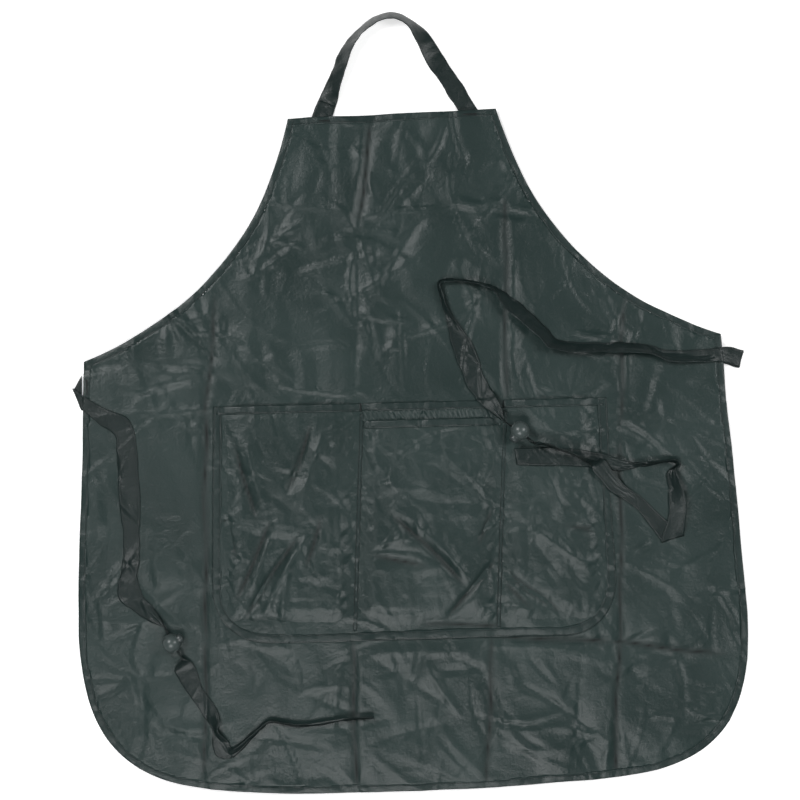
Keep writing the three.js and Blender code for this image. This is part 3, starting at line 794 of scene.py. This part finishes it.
def stitchRow(name, line, up, body, radius=stitch["radius"], lock=None):
    # short thread loops along a line: each a bowed tube of five rings, its ends in the cloth
    at = np.asarray(line, float)
    run = runOf(at)
    mids = np.arange(stitch["pitch"] / 2, run[-1], stitch["pitch"])
    if lock is not None:
        away = np.linalg.norm(sampled(at, run, mids) - lock, axis=1)
        mids = mids[away > stitch["clearOfLock"]]
    u = np.linspace(-0.5, 0.5, 5)
    s = np.clip(mids[:, None] + u * stitch["length"], 0, run[-1])
    spot, lift = sampled(at, run, s), unit(sampled(up, run, s))
    way = spot[:, -1:] - spot[:, :1]
    way = way / np.maximum(np.linalg.norm(way, axis=-1, keepdims=True), 1e-9)
    bow = (1 - (2 * u) ** 2)[None, :, None] * radius * 1.5 - radius * 0.4
    thick = radius * (0.35 + 0.65 * np.sqrt(np.clip(1 - (2 * u) ** 4, 0, 1)))
    points = tubeRings(spot + lift * bow, np.cross(way, lift), lift, thick[None, :, None, None], 6)
    faces = threadFaces(5)[None] + (np.arange(len(mids)) * 30)[:, None, None]
    return settle(meshFrom(name, points, faces.reshape(-1, 4)), thread, body)


def barTack(name, cadName, wide, overNode):
    # a dense zigzag of thread, side to side along the tack, on the tape or over its node's top
    low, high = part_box(cadName)
    centre = np.array([(low.x + high.x) / 2, (low.y + high.y) / 2, 0.0])
    if overNode is None:
        centre[2] = float(edgeHeight(centre[:1], centre[1:2])[0]) + tack["proud"]
    else:
        centre[2] = high.z + overNode
    along, across = np.eye(3)[[0, 1] if wide else [1, 0]]
    length = max(high.x - low.x, high.y - low.y)
    count = 2 * int(length / tack["pitch"])
    k = np.arange(count + 1)
    sideways = np.where(k % 2, 0.5, -0.5) * tack["width"]
    zigzag = centre + np.outer((k / count - 0.5) * length, along) + np.outer(sideways, across)
    line = evenly(zigzag, tack["step"])
    lift = np.broadcast_to(np.array([0, 0, 1.0]), line.shape)
    side = unit(np.cross(np.gradient(line, axis=0), lift))
    points = tubeRings(line, side, lift, tack["radius"], 6)
    settle(meshFrom(name, points, threadFaces(len(line))), thread, "apron", cadName)


# a strap is a cross-section carried along pairs of edge points
strapShape = {
    "width": 0.021,
    "thickness": 0.0009,
    "pleats": 2.2,
    "pleatDepth": 0.0019,
    "steps": 7,
    "ring": 0.0022,
    "across": 17,
}


def strapPiece(name, rungs, thickness, seed, steps=strapShape["steps"], floorOf=None):
    # edges a and b give each ring; where they come closer than the strap is wide, it pleats
    fine = evenly(throughPoints(rungs, steps), strapShape["ring"])
    a, b = fine[:, :3], fine[:, 3:6]
    middle, across = (a + b) / 2, b - a
    span = np.linalg.norm(across, axis=1)
    up = unit(np.cross(unit(np.gradient(middle, axis=0)), across))
    run = runOf(middle)
    flat = 0 * run
    count = strapShape["across"]
    t = np.linspace(0, 1, count)
    tight = np.clip(1 - span / strapShape["width"], 0, 1)[:, None]
    sway = valueNoise(run[:, None] + 3 * seed, 9 * t[None] + flat[:, None], 0.05, seed + 2)
    phase = 2 * math.pi * strapShape["pleats"] * (t + 0.35 * sway)
    pleat = np.sin(phase + 9 * valueNoise(run, flat, 0.07, seed + 3)[:, None])
    shift = seed * 7.3
    slid = run[:, None] + shift
    pucker = 0.00035 * valueNoise(slid, t[None] * 0.011 + shift, 0.006, seed)
    pucker = pucker + 0.0006 * valueNoise(slid, t[None] * 0.02, 0.016, seed + 1)
    offset = (strapShape["pleatDepth"] * tight**1.3 * pleat + pucker)[:, :, None] * up[:, None]
    # the edges are drawn in by the sewing
    drawn = 0.05 * valueNoise(run, flat, 0.013, seed + 5)[:, None] * (2 * t - 1) ** 2 * (1 - tight)
    share = (t + drawn * np.sign(t - 0.5))[:, :, None]
    sheet = a[:, None] + across[:, None] * share + offset
    half = 0.5 * thickness * (0.55 + 0.45 * np.sqrt(np.clip(1 - (2 * t - 1) ** 8, 0, 1)))
    if floorOf is not None:
        # lifted where the cloth beneath stands higher than the strap
        lowest = floorOf(sheet[:, :, 0], sheet[:, :, 1]) + 0.0005 + thickness / 2
        gap = sheet[:, :, 2] - lowest
        sheet[:, :, 2] = lowest + 0.5 * (gap + np.sqrt(gap**2 + 0.0006**2))
    wall = half[None, :, None] * up[:, None]
    points = np.concatenate([sheet + wall, (sheet - wall)[:, ::-1]], axis=1).reshape(-1, 3)
    if floorOf is None:
        points[:, 2] = np.maximum(points[:, 2], 0.0)
    columns = 2 * count
    k = np.arange(count - 1)
    startCap = np.stack([k, columns - 1 - k, columns - 2 - k, k + 1], -1)
    endCap = startCap[:, ::-1] + columns * (len(fine) - 1)
    sides = gridFaces(len(fine), columns, wrapColumns=True)
    faces = np.vstack([sides[:, ::-1], startCap[:, ::-1], endCap[:, ::-1]])
    tLoop = np.r_[t, t[::-1]] * strapShape["width"]
    uv = np.stack(np.broadcast_arrays(tLoop[None, :], run[:, None]), -1).reshape(-1, 2)
    strap = settle(meshFrom(name, points, faces, uv), strapCloth)
    seams = {"Outer": sheet[:, 2], "Inner": sheet[:, -3]}
    return strap, sheet.mean(axis=1), up, seams, half[2] + 0.0001


# length in metres, and rungs from edge to edge of the strap in millimetres
tieRoutes = {
    "left": {
        "length": 0.68,
        "seed": 11,
        "before": [
            (-370, 17, 1, -369, 45, 1), (-369, 7, 1, -377.5, 32, 1),
            (-370, 5, 2.9, -379, 31, 2.9), (-369, 5, 5, -377, 29, 5),
            (-351, -11, 4, -342, 6, 5), (-333, -26, 5, -317, -6, 6),
            (-332, -45, 4, -309, -36, 4.5), (-331, -65, 4, -309, -64, 4.5),
            (-331, -94, 4, -308, -95, 4.5), (-330, -123, 4, -309, -125, 4.5),
            (-329, -148, 4, -310, -150, 5), (-332, -175, 4, -311, -169, 6),
            (-338, -209, 4.5, -315, -189, 6.5), (-324, -224, 4.5, -310, -209, 7),
            (-308, -237, 8, -298, -223, 10),
        ],
        "after": [
            (-276, -295, 7, -257, -289, 8), (-274, -305, 4.5, -250, -302, 5),
            (-263, -323, 4, -245, -321, 6), (-251, -342, 4, -233, -337, 7),
            (-240, -360, 4, -227, -356, 12), (-236, -370, 4, -229, -368, 14),
            (-237, -382, 4, -219, -380, 8), (-232, -397, 4, -217, -387, 7),
            (-217, -400, 4, -213, -389, 12), (-203, -390, 4, -205, -385, 13),
            (-187, -374, 4, -189, -372, 14), (-170, -361, 4, -171, -359, 14),
            (-153, -365, 4, -153, -361, 14), (-132, -368, 4, -131, -364, 14),
            (-110, -366, 4, -110, -363, 14), (-83, -363, 4, -83, -360, 14),
            (-51, -361, 4, -51, -359, 14),
        ],
        "buttonSide": 1,
    },
    "right": {
        "length": 1.11,
        "seed": 23,
        "before": [
            (367.3, 46, 1, 368.4, 27, 1), (390, 41, 1, 384, 22, 1),
            (391, 41, 2.9, 386, 22, 2.9), (389, 42, 5, 384, 23, 5),
            (373, 46, 5.5, 367, 29, 6.5), (345, 44, 4, 344, 30, 12),
            (305, 45, 4, 305, 32, 14), (274, 54, 4, 273, 43, 17),
            (186, 61, 4, 178, 50, 17), (165, 79, 4, 157, 66, 15),
            (131, 112, 4, 119, 102, 16), (102, 129, 4, 101, 126, 14),
            (50, 137, 4, 51, 134, 14), (46, 119, 4, 50, 118, 14),
            (51, 99, 4, 58, 96, 12), (57, 61, 4, 81, 61, 7),
            (70, 20, 5, 94, 21, 5.5), (81, 0, 8, 101, 9, 8),
            (96, -16, 14, 108, -6, 15),
        ],
        "after": [
            (163, -59, 11, 164, -57, 28), (207, -79, 12, 209, -75, 29),
            (212, -90, 12, 225, -77, 14), (232, -114, 9, 245, -104, 10),
            (257, -132, 5, 267, -122, 8), (273, -152, 4, 284, -140, 5.5),
            (286, -172, 4, 312, -166, 4), (287, -174, 5.5, 314, -167, 5.5),
            (288, -172, 7, 313, -165, 8), (297, -141, 7, 317, -138, 13),
            (298, -115, 4, 313, -112, 16), (297, -96, 4, 307, -93, 12),
            (309, -88, 4, 312, -86, 14), (305, -83, 4, 306, -80, 14),
            (288, -84, 4, 288, -81, 14), (263, -87, 5, 263, -82, 12),
            (243, -90, 9, 244, -76, 9.5), (193, -83, 9, 194, -63, 9.5),
            (125, -79, 9, 123, -59, 9.5),
        ],
        "buttonSide": -1,
    },
}


def ballFrame(side):
    # centre of the ball, the way that the strap runs through it, and the way that the button points
    low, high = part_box(f"toggle_{side}_barrel")
    turn = math.radians(lockHeading[side])
    along = np.array([math.cos(turn), math.sin(turn), 0])
    button = tieRoutes[side]["buttonSide"] * np.array([-along[1], along[0], 0])
    return np.array((low + high) / 2), along, button


def throat(side):
    # straight rungs through the two holes, bunched narrow
    centre, along, button = ballFrame(side)
    across = button * tieRoutes[side]["buttonSide"] * 0.0014
    middle = centre + button * 0.0017
    spots = [middle + along * at for at in (-0.021, -0.0125, 0, 0.0125, 0.021)]
    return np.array([[*(spot - across), *(spot + across)] for spot in spots])


def waistTie(side):
    # the strap runs from its sewn end through the lock to its free end, with stitches on both faces
    route, title = tieRoutes[side], side.title()
    rungs = np.vstack([np.array(route["before"]) * mm, throat(side), np.array(route["after"]) * mm])
    thickness, seed = strapShape["thickness"], route["seed"]
    made = strapPiece(f"waistTie{title}", rungs, thickness, seed, floorOf=ground)
    tie, middle, up, rows, skin = made
    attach(tie, "apron")
    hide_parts(f"waist_tie_{side}")
    print(side, "tie runs", round(float(runOf(middle)[-1]), 3))
    for label, row in rows.items():
        for face, sign in (("Top", 1), ("Under", -1)):
            name = f"tieStitch{title}{label}{face}"
            line = row + up * sign * skin
            lock = ballFrame(side)[0]
            stitchRow(name, line, up * sign, "apron", radius=0.00018, lock=lock)


for side in ("left", "right"):
    waistTie(side)
print("waist ties made")


sheetShape = {"pitch": 0.0031, "thickness": 0.0004, "edgeInset": 0.0045}


def clothSheet(name, x, y, z, keep, folds, cadName):
    # the part of a grid that lies inside its outline, laid down, with painted shade along its valley
    # folds
    faces = gridFaces(*x.shape)
    faces = faces[keep.ravel()[faces].all(1)]
    used, compact = np.unique(faces, return_inverse=True)
    x, y = x.ravel()[used], y.ravel()[used]
    points = np.stack([*laid(x, y), z.ravel()[used]], -1)
    made = meshFrom(name, points, compact.reshape(-1, 4))
    paintFoldShade(made.data, foldShadeMask(x, y, folds))
    thicken(made, sheetShape["thickness"])
    return settle(made, cloth, "apron", cadName)


def frontPanel():
    # a flat grid cut a little inside the outline and raised by the wrinkles
    inner = panelOutline - leftNormal(panelOutline) * sheetShape["edgeInset"]
    pitch = sheetShape["pitch"]
    xs = np.arange(-cut["skirtHalf"], cut["skirtHalf"] + pitch, pitch)
    ys = np.arange(cut["hemLine"], cut["bibTop"] + pitch, pitch)
    x, y = np.meshgrid(xs, ys)
    keep = insideOf(inner, x, y)
    return clothSheet("frontPanel", x, y, panelHeight(x, y), keep, packFolds, "apron_panel")


panel = frontPanel()
print("front panel made")


tapeShape = {"ring": 0.0022, "sides": 14}


def boxRing():
    # the section of a flattened tube, across and up from -1 to 1, both on a rounded box
    turn = np.arange(tapeShape["sides"]) / tapeShape["sides"] * 2 * math.pi
    across = np.sign(np.cos(turn)) * np.abs(np.cos(turn)) ** 0.45
    up = np.sign(np.sin(turn)) * np.abs(np.sin(turn)) ** 0.7
    return across, up


def tubeFaces(rings, turned=False):
    # the sides of a flattened tube, closed at both ends
    count = tapeShape["sides"]
    k = np.arange(count // 2 - 1)
    start = np.stack([k, (count - k) % count, (count - 1 - k) % count, k + 1], -1)
    caps = np.vstack([start, start[:, ::-1] + count * (rings - 1)])
    sides = gridFaces(rings, count, wrapColumns=True)
    return np.vstack([sides[:, ::-1], caps] if turned else [sides, caps[:, ::-1]])


def foldedTape(name, line, inwards, size, heightOf, seed, cadName, rows=(0.78,), lift=0.0):
    # a flattened tube along a line, puckered by the sewing; rows of stitches at shares of its width
    width, thickness = size
    spine = evenly(line, tapeShape["ring"])
    side = leftNormal(spine) * inwards
    run = runOf(spine)
    cx, cz = boxRing()
    wave = valueNoise(run, 0 * run, 0.0065, seed)
    slow = valueNoise(run, 0 * run + 3, 0.03, seed + 1)
    # the outer edge stays on the line; the inner edge wanders a little
    wander = (0.0004 * slow + 0.00025 * wave)[:, None]
    offset = width * 0.5 * (1 + cx)[None, :] + wander * (1 + cx)[None, :]
    x = spine[:, :1] + side[:, :1] * offset
    y = spine[:, 1:2] + side[:, 1:2] * offset
    puff = thickness * 0.5 * (1 + 0.3 * wave[:, None] * cx[None, :] ** 2) * cz[None, :]
    z = heightOf(x, y) + lift + puff + 0.00018 * wave[:, None]
    points = np.stack([*laid(x, y), z], -1).reshape(-1, 3)
    uv = np.stack(np.broadcast_arrays(offset, run[:, None]), -1).reshape(-1, 2)
    made = meshFrom(name, points, tubeFaces(len(spine), turned=inwards > 0), uv)
    settle(made, tape, "apron", cadName)
    for n, share in enumerate(rows):
        sx, sy = (spine[:, :2] + side * width * share).T
        sz = heightOf(sx, sy) + lift + thickness * 0.5 + 0.00018 * wave
        up = np.tile([0, 0, 1.0], (len(sx), 1))
        stitchRow(f"{name}Stitch{n + 1}", np.stack([*laid(sx, sy), sz], -1), up, "apron")


def ridingOn(share, lift):
    # a height that follows a share of the panel's wrinkles
    return lambda x, y: panelLift + share * crumple(x, y) + lift


edgeHeight = ridingOn(0.75, 0.0007)
bibLine = np.array([[-cut["bibHalf"], cut["bibTop"]], [cut["bibHalf"], cut["bibTop"]]])
bindings = {
    "bibHem": (bibLine, "bib_hem"),
    "armholeBindingRight": (armholeRight, "armhole_binding_right"),
    "skirtBinding": (skirtLine, "skirt_binding"),
    "armholeBindingLeft": (armholeLeft, "armhole_binding_left"),
}
for n, (name, (line, cadName)) in enumerate(bindings.items()):
    size = cut["tape"], cut["tapeThickness"]
    foldedTape(name, line, -1, size, edgeHeight, 40 + 3 * n, cadName)
print("bindings made")


def pocketSide(side, inset):
    # from the mouth down one side and round the bottom corner to the middle
    radius = pocket["radius"] - inset
    bottom = inset - pocket["height"]
    lean = (pocket["bottomHalf"] - pocket["topHalf"]) / pocket["height"]
    edge = lambda q: side * (pocket["topHalf"] - q * lean - inset)
    arcTop = bottom + radius
    turn = np.linspace(0, math.pi / 2, 40)
    centre = edge(arcTop) - side * radius
    arc = np.stack([centre + side * radius * np.cos(turn), arcTop - radius * np.sin(turn)], -1)
    straight = np.linspace([edge(0), 0], [edge(arcTop), arcTop], 40)[:-1]
    return np.vstack([straight, arc])


def droop(p):
    # how far the mouth hangs: only the middle compartment's does
    first, second = dividerAt(0, 0) - 0.001, dividerAt(1, 0) + 0.001
    between = smoothStep(p, first, first + 0.007) * smoothStep(-p, -second, 0.007 - second)
    return pocket["slack"] * between


def patchPocket():
    # a flat grid cut to the pocket's shape; the middle of its mouth is pulled down by its slack
    pitch = pocket["pitch"]
    outline = np.vstack([pocketSide(-1, 0.003), pocketSide(1, 0.003)[::-1]])
    outline = np.vstack([[outline[0, 0], 0.01], outline, [outline[-1, 0], 0.01]])
    ps = np.arange(-pocket["bottomHalf"], pocket["bottomHalf"] + pitch, pitch)
    qs = np.linspace(-pocket["height"], 0, int(pocket["height"] / pitch) + 1)
    p, q = np.meshgrid(ps, qs)
    keep = insideOf(outline, p, q)
    q = q - droop(p) * smoothStep(q, -0.075, 0.0)
    x, y = fromPocket(p, q)
    z = pocketSurface(x, y, p, q)
    return clothSheet("patchPocket", x, y, z, keep, pocketFolds, "pocket_panel")


def pocketHem(name, ends, level, thickness, cadName, seed, lift=0.0009, slotName="nylon_tape"):
    # a folded hem whose top edge runs level in the pocket's axes, with one row of stitches
    line = np.linspace([ends[0], level], [ends[1], level], 60)
    width = pocket["hem"]
    spine = evenly(line, 0.002)
    run = runOf(spine)
    cx, cz = boxRing()
    wave = valueNoise(run, 0 * run, 0.007, seed)
    p = np.broadcast_to(spine[:, :1], (len(spine), len(cx)))
    q = spine[:, 1:2] - (width * 0.5 * (1 + cx))[None] + 0.0003 * wave[:, None]
    x, y = fromPocket(p, q)
    puff = thickness * 0.5 * cz[None] * (1 + 0.3 * wave[:, None])
    z = pocketSurface(x, y, p, q) + lift + puff
    points = np.stack([*laid(x, y), z], -1).reshape(-1, 3)
    settle(meshFrom(name, points, tubeFaces(len(spine))), tape, "apron", cadName)
    p, q = spine[:, 0], spine[:, 1] - width * 0.82
    x, y = fromPocket(p, q)
    z = pocketSurface(x, y, p, q) + (lift + thickness * 0.5)
    row = np.stack([*laid(x, y), z], -1)
    stitchRow(f"{name}Stitch1", row, np.tile([0, 0, 1.0], (len(row), 1)), "apron")


pocketSkin = patchPocket()
outer = np.vstack([pocketSide(-1, 0.0), pocketSide(1, 0.0)[::-1][1:]])
outer = np.stack(fromPocket(outer[:, 0], outer[:, 1]), -1)
onBinding = ridingOn(0.6, 0.0016)
size = pocket["binding"], pocket["bindingThickness"]
rows = (0.16, 0.8)
foldedTape("pocketBinding", outer, 1, size, onBinding, 71, "pocket_binding", rows, 0.0004)

leftDivider, rightDivider = dividerAt(0, 0), dividerAt(1, 0)
edge = pocket["topHalf"] - 0.004
hemThickness = pocket["hemThickness"]
left, middle, right = (-edge, leftDivider), (leftDivider, rightDivider), (rightDivider, edge)
inner = (leftDivider + 0.004, rightDivider - 0.004)
mouths = {
    # name: its two ends, level, thickness, CAD node and seed
    "pocketHemLeft": (left, 0.0, hemThickness, "pocket_hem_left", 81),
    "pocketHemMiddle": (inner, -pocket["slack"], hemThickness, "pocket_hem_middle", 82),
    "pocketHemRight": (right, 0.0, hemThickness, "pocket_hem_right", 83),
    # the heading's own hem runs along the mouth line, over the gathers
    "pocketHeading": (middle, 0.0, 0.0012, "pocket_heading", 91, -0.0006, "nylon_cloth"),
}
for name, settings in mouths.items():
    pocketHem(name, *settings)

gatherShape = {"columns": 220, "rows": 9, "pitch": 0.0058, "slant": 0.45, "depth": 0.0008}


def gathers():
    # the strip between the heading's hem and the middle mouth, drawn into small slanted puckers
    count, rows = gatherShape["columns"], gatherShape["rows"]
    across = np.linspace(leftDivider + 0.002, rightDivider - 0.002, count)
    t = np.linspace(0, 1, rows)[:, None]
    down = -pocket["hem"] * 0.9 - t * (pocket["slack"] - pocket["hem"] * 0.8)
    p, q = np.broadcast_arrays(across[None], down)
    phase = (p + gatherShape["slant"] * q) / gatherShape["pitch"] * 2 * math.pi
    phase = phase + 4 * valueNoise(p, 0 * p, 0.022, 95)
    bunch = np.sin(phase) * (0.8 + 0.35 * valueNoise(p, 0 * p, 0.012, 96))
    x, y = fromPocket(p, q)
    bulge = gatherShape["depth"] * bunch * np.sin(math.pi * t)
    z = panelHeight(x, y) + 0.0012 + bulge + 0.0004 * t
    points = np.stack([*laid(x, y), z], -1).reshape(-1, 3)
    made = meshFrom("pocketGathers", points, gridFaces(rows, count)[:, ::-1])
    thicken(made, sheetShape["thickness"])
    settle(made, cloth, "apron")


gathers()


def dividerSeam(n, name, cadName):
    # a narrow felled seam down each divider, with a row of stitches on each side
    q = np.linspace(-0.012, -pocket["height"] + 0.012, 90)
    spine = evenly(np.stack([dividerAt(n, q), q], -1), 0.0022)
    world = np.stack(fromPocket(spine[:, 0], spine[:, 1]), -1)
    size = pocket["seam"], pocket["seamThickness"]
    onSeam = ridingOn(pocket["follow"], 0.0022)
    foldedTape(name, world, 1, size, onSeam, 101 + n, cadName, (0.15, 0.85))


dividerSeam(0, "dividerSeamLeft", "pocket_stitch_left")
dividerSeam(1, "dividerSeamRight", "pocket_stitch_right")
print("pocket made")


loop = {
    "spacing": 0.167,
    "height": 0.112,
    "lean": 0.0022,
    "width": 0.0205,
    "thickness": 0.0009,
    "tab": 0.018,
    "tabThickness": 0.0011,
    "under": 0.009,
}
loopShape = [
    # across (1 is a strap end), up (1 is the top), tilt in degrees
    (-0.97, 0, 0),
    (-0.875, 0.165, 0),
    (-0.81, 0.29, 26),
    (-0.71, 0.48, 40),
    (-0.6, 0.67, 50),
    (-0.43, 0.84, 60),
    (-0.19, 0.97, 60),
    (0.06, 1, 59),
    (0.29, 0.91, 54),
    (0.46, 0.75, 32),
    (0.62, 0.53, 8),
    (0.82, 0.3, 2),
    (1.055, 0, 0),
]


def loopRungs(under):
    # edges of the strap along the loop, with straight runs behind the bib at its ends
    shape = np.array(loopShape, float)
    across = shape[:, 0] * loop["spacing"] / 2 + shape[:, 1] * loop["lean"]
    centre = np.stack([across, cut["bibTop"] + shape[:, 1] * loop["height"]], -1)
    fine = throughPoints(np.hstack([centre, np.radians(shape[:, 2])[:, None]]), 8)
    line, tilt = fine[:, :2], np.clip(fine[:, 2], 0, None)
    reach = leftNormal(line) * (loop["width"] / 2 * np.cos(tilt))[:, None]
    low = np.hstack([line + reach, np.full((len(line), 1), 0.0006)])
    high = np.hstack([line - reach, (0.0006 + loop["width"] * np.sin(tilt))[:, None]])
    rungs = np.hstack([low, high])
    back = np.r_[unit(line[0] - line[1]), 0]
    onward = np.r_[unit(line[-1] - line[-2]), 0]
    first = rungs[:1] + np.tile(back * under, 2)
    last = rungs[-1:] + np.tile(onward * under, 2)
    return np.vstack([first, rungs, last])


def bendAtBib(piece):
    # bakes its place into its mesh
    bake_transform(piece)


def neckLoop():
    # the strap round the loop, with a row of stitches near each edge
    rungs = loopRungs(loop["under"])
    rungs[0, [2, 5]] = rungs[-1, [2, 5]] = 0.0003
    neck, _, up, rows, skin = strapPiece("neckStrap", rungs, loop["thickness"], 33, steps=1)
    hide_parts("neck_strap")
    bendAtBib(neck)
    for label, row in rows.items():
        bendAtBib(stitchRow(f"neckStitch{label}", row + up * skin, up, None))


def neckTab():
    # the short lap over the left end of the strap, with its end turned under
    rungs = loopRungs(0.0)[1:]
    run = runOf((rungs[:, :2] + rungs[:, 3:5]) / 2)
    rungs = rungs[run < loop["tab"] + 0.001]
    rungs[:, [2, 5]] += 0.0013
    first = rungs[0] + unit(rungs[0] - rungs[1]) * 0.0056
    rungs = np.vstack([first, rungs])
    rungs[0, [2, 5]] = 0.0012
    tab = strapPiece("neckTab", rungs, loop["tabThickness"], 35, steps=2)[0]
    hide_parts("neck_tab")
    bendAtBib(tab)
    end = rungs[-1]
    line = np.linspace(end[:3], end[3:], 30) + np.array([0, -0.0022, 0.0008])
    seam = stitchRow("neckLapStitch", line, np.tile([0, 0, 1.0], (30, 1)), "neck_loop")
    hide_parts("neck_lap_stitch")


neckLoop()
neckTab()
print("neck loop made")

# bar tacks at the strap ends and the pocket's mouth
tacks = {
    # name: CAD node, whether it runs across, height over the node's top or none on the tape
    "neckTackLeft": ("neck_bartack_left", True, None),
    "neckTackRight": ("neck_bartack_right", True, None),
    "tieTackLeft": ("tie_bartack_left", False, None),
    "tieTackRight": ("tie_bartack_right", False, None),
    "pocketTack1": ("pocket_bartack_1", False, 0.0006),
    "pocketTack2": ("pocket_bartack_2", False, 0.0022),
    "pocketTack3": ("pocket_bartack_3", False, 0.0022),
    "pocketTack4": ("pocket_bartack_4", False, 0.0006),
}
for name, settings in tacks.items():
    barTack(name, *settings)
print("bar tacks made")


def smoothCopy(cadName, name, finish, slotName, body):
    # the node's own mesh, merged, with its edges kept sharp
    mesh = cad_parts[cadName].data.copy()
    mesh.name = name
    mesh.materials.clear()
    work = bmesh.new()
    work.from_mesh(mesh)
    bmesh.ops.remove_doubles(work, verts=work.verts, dist=1e-6)
    work.to_mesh(mesh)
    work.free()
    mesh.shade_smooth()
    mesh.set_sharp_from_angle(angle=math.radians(ballLock["sharp"]))
    made = bpy.data.objects.new(name, mesh)
    bpy.context.scene.collection.objects.link(made)
    settle(made, finish, body, cadName)


def ringAround(name, centre, axis, radius, thick, finish, slotName, body):
    # a torus: a small circle carried round a large one
    parts, sides = 48, 10
    first = unit(np.cross(axis, [0, 0, 1.0]))
    second = np.cross(axis, first)
    u = (np.arange(parts) / parts * 2 * math.pi)[:, None, None]
    v = (np.arange(sides) / sides * 2 * math.pi)[None, :, None]
    out = first * np.cos(u) + second * np.sin(u)
    points = centre + out * (radius + thick * np.cos(v)) + axis * thick * np.sin(v)
    r, c = np.meshgrid(np.arange(parts), np.arange(sides), indexing="ij")
    here, there = r * sides, (r + 1) % parts * sides
    beside = (c + 1) % sides
    faces = np.stack([here + c, there + c, there + beside, here + beside], -1)
    made = meshFrom(name, points.reshape(-1, 3), faces.reshape(-1, 4))
    settle(made, finish, body)


ballLock = {"radius": 0.0108, "hole": 0.0042, "bore": 0.0059, "button": 0.0056, "sharp": 34}
spring = {
    "radius": 0.0034,
    "wire": 0.0007,
    "turns": 3.0,
    "foot": -0.0079,
    "rise": 0.0047,
    "pressed": 0.38,
}


def coil(side, centre, along, button):
    # a helix up the bore, at rest
    share = np.linspace(0, 1, 130)
    turn = 2 * math.pi * spring["turns"] * share
    upward = np.array([0, 0, 1.0])
    spokes = along * np.cos(turn)[:, None] + upward * np.sin(turn)[:, None]
    rise = (spring["foot"] + spring["rise"] * share)[:, None]
    line = centre + spokes * spring["radius"] + button * rise
    second = np.cross(unit(np.gradient(line, axis=0)), spokes)
    points = tubeRings(line, spokes, second, spring["wire"] / 2, 10)
    last = 10 * (len(line) - 1)
    faces = gridFaces(len(line), 10, wrapColumns=True).tolist()
    faces += [[0, 9 - k, 8 - k] for k in range(8)]
    faces += [[last, last + k + 1, last + k + 2] for k in range(8)]
    made = meshFrom(f"springCoil{side.title()}", points, faces)
    body, node = f"toggle_{side}", f"toggle_{side}_spring"
    settle(made, springWire, body, node)
    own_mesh(made)


def cordLock(side):
    # smooth ball and button, a lip round each hole, a ring on the button, and the spring
    centre, along, button = ballFrame(side)
    title, body = side.title(), f"toggle_{side}"
    ballLook = (ballPlastic, "ball_plastic", body)
    buttonLook = (buttonPlastic, "button_plastic", f"button_{side}")
    smoothCopy(f"toggle_{side}_barrel", f"ballBody{title}", *ballLook)
    smoothCopy(f"toggle_{side}_plunger", f"ballButton{title}", *buttonLook)
    radius, hole, bore = ballLock["radius"], ballLock["hole"], ballLock["bore"]
    mouth = math.sqrt(radius**2 - hole**2) + 0.0001
    for label, sign in (("Front", 1), ("Back", -1)):
        spot = centre + along * sign * mouth
        ringAround(f"cordHoleLip{title}{label}", spot, along, hole + 0.0003, 0.0005, *ballLook)
    spot = centre + button * (math.sqrt(radius**2 - bore**2) + 0.0001)
    ringAround(f"boreLip{title}", spot, button, bore + 0.00045, 0.0005, *ballLook)
    spot = centre + button * 0.0125
    ringAround(f"buttonRing{title}", spot, button, ballLock["button"], 0.0002, *buttonLook)
    coil(side, centre, along, button)


for side in ("left", "right"):
    cordLock(side)
print("cord locks made")


def studioFloor():
    # a wide pale sheet a little below the cloth, faintly bright of itself
    x, y = np.meshgrid(*[np.linspace(-20, 20, 13)] * 2)
    points = np.stack([x, y, np.full_like(x, -0.0012)], -1).reshape(-1, 3)
    floor = meshFrom("studioFloor", points, gridFaces(13, 13))
    made = bpy.data.materials.new("paleFloor")
    made.use_nodes = True
    tree = made.node_tree
    surface = tree.nodes["Principled BSDF"]
    place = tree.nodes.new("ShaderNodeTexCoord")
    shade = spread(tree, noiseOf(tree, place.outputs["Object"], 40.0), 0.93, 0.95)
    tint = node(tree, "ShaderNodeCombineColor", [(k, shade) for k in ("Red", "Green", "Blue")])
    tree.links.new(tint.outputs[0], surface.inputs["Base Color"])
    surface.inputs["Roughness"].default_value = 0.9
    surface.inputs["Emission Color"].default_value = (1, 1, 1, 1)
    surface.inputs["Emission Strength"].default_value = 0.45
    surface.inputs["Specular IOR Level"].default_value = 0.1
    floor.data.materials.append(made)
    floor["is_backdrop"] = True


studioFloor()

visualBox = [list(corner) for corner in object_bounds()]
print("cad box", cadBox)
print("visual box", visualBox)
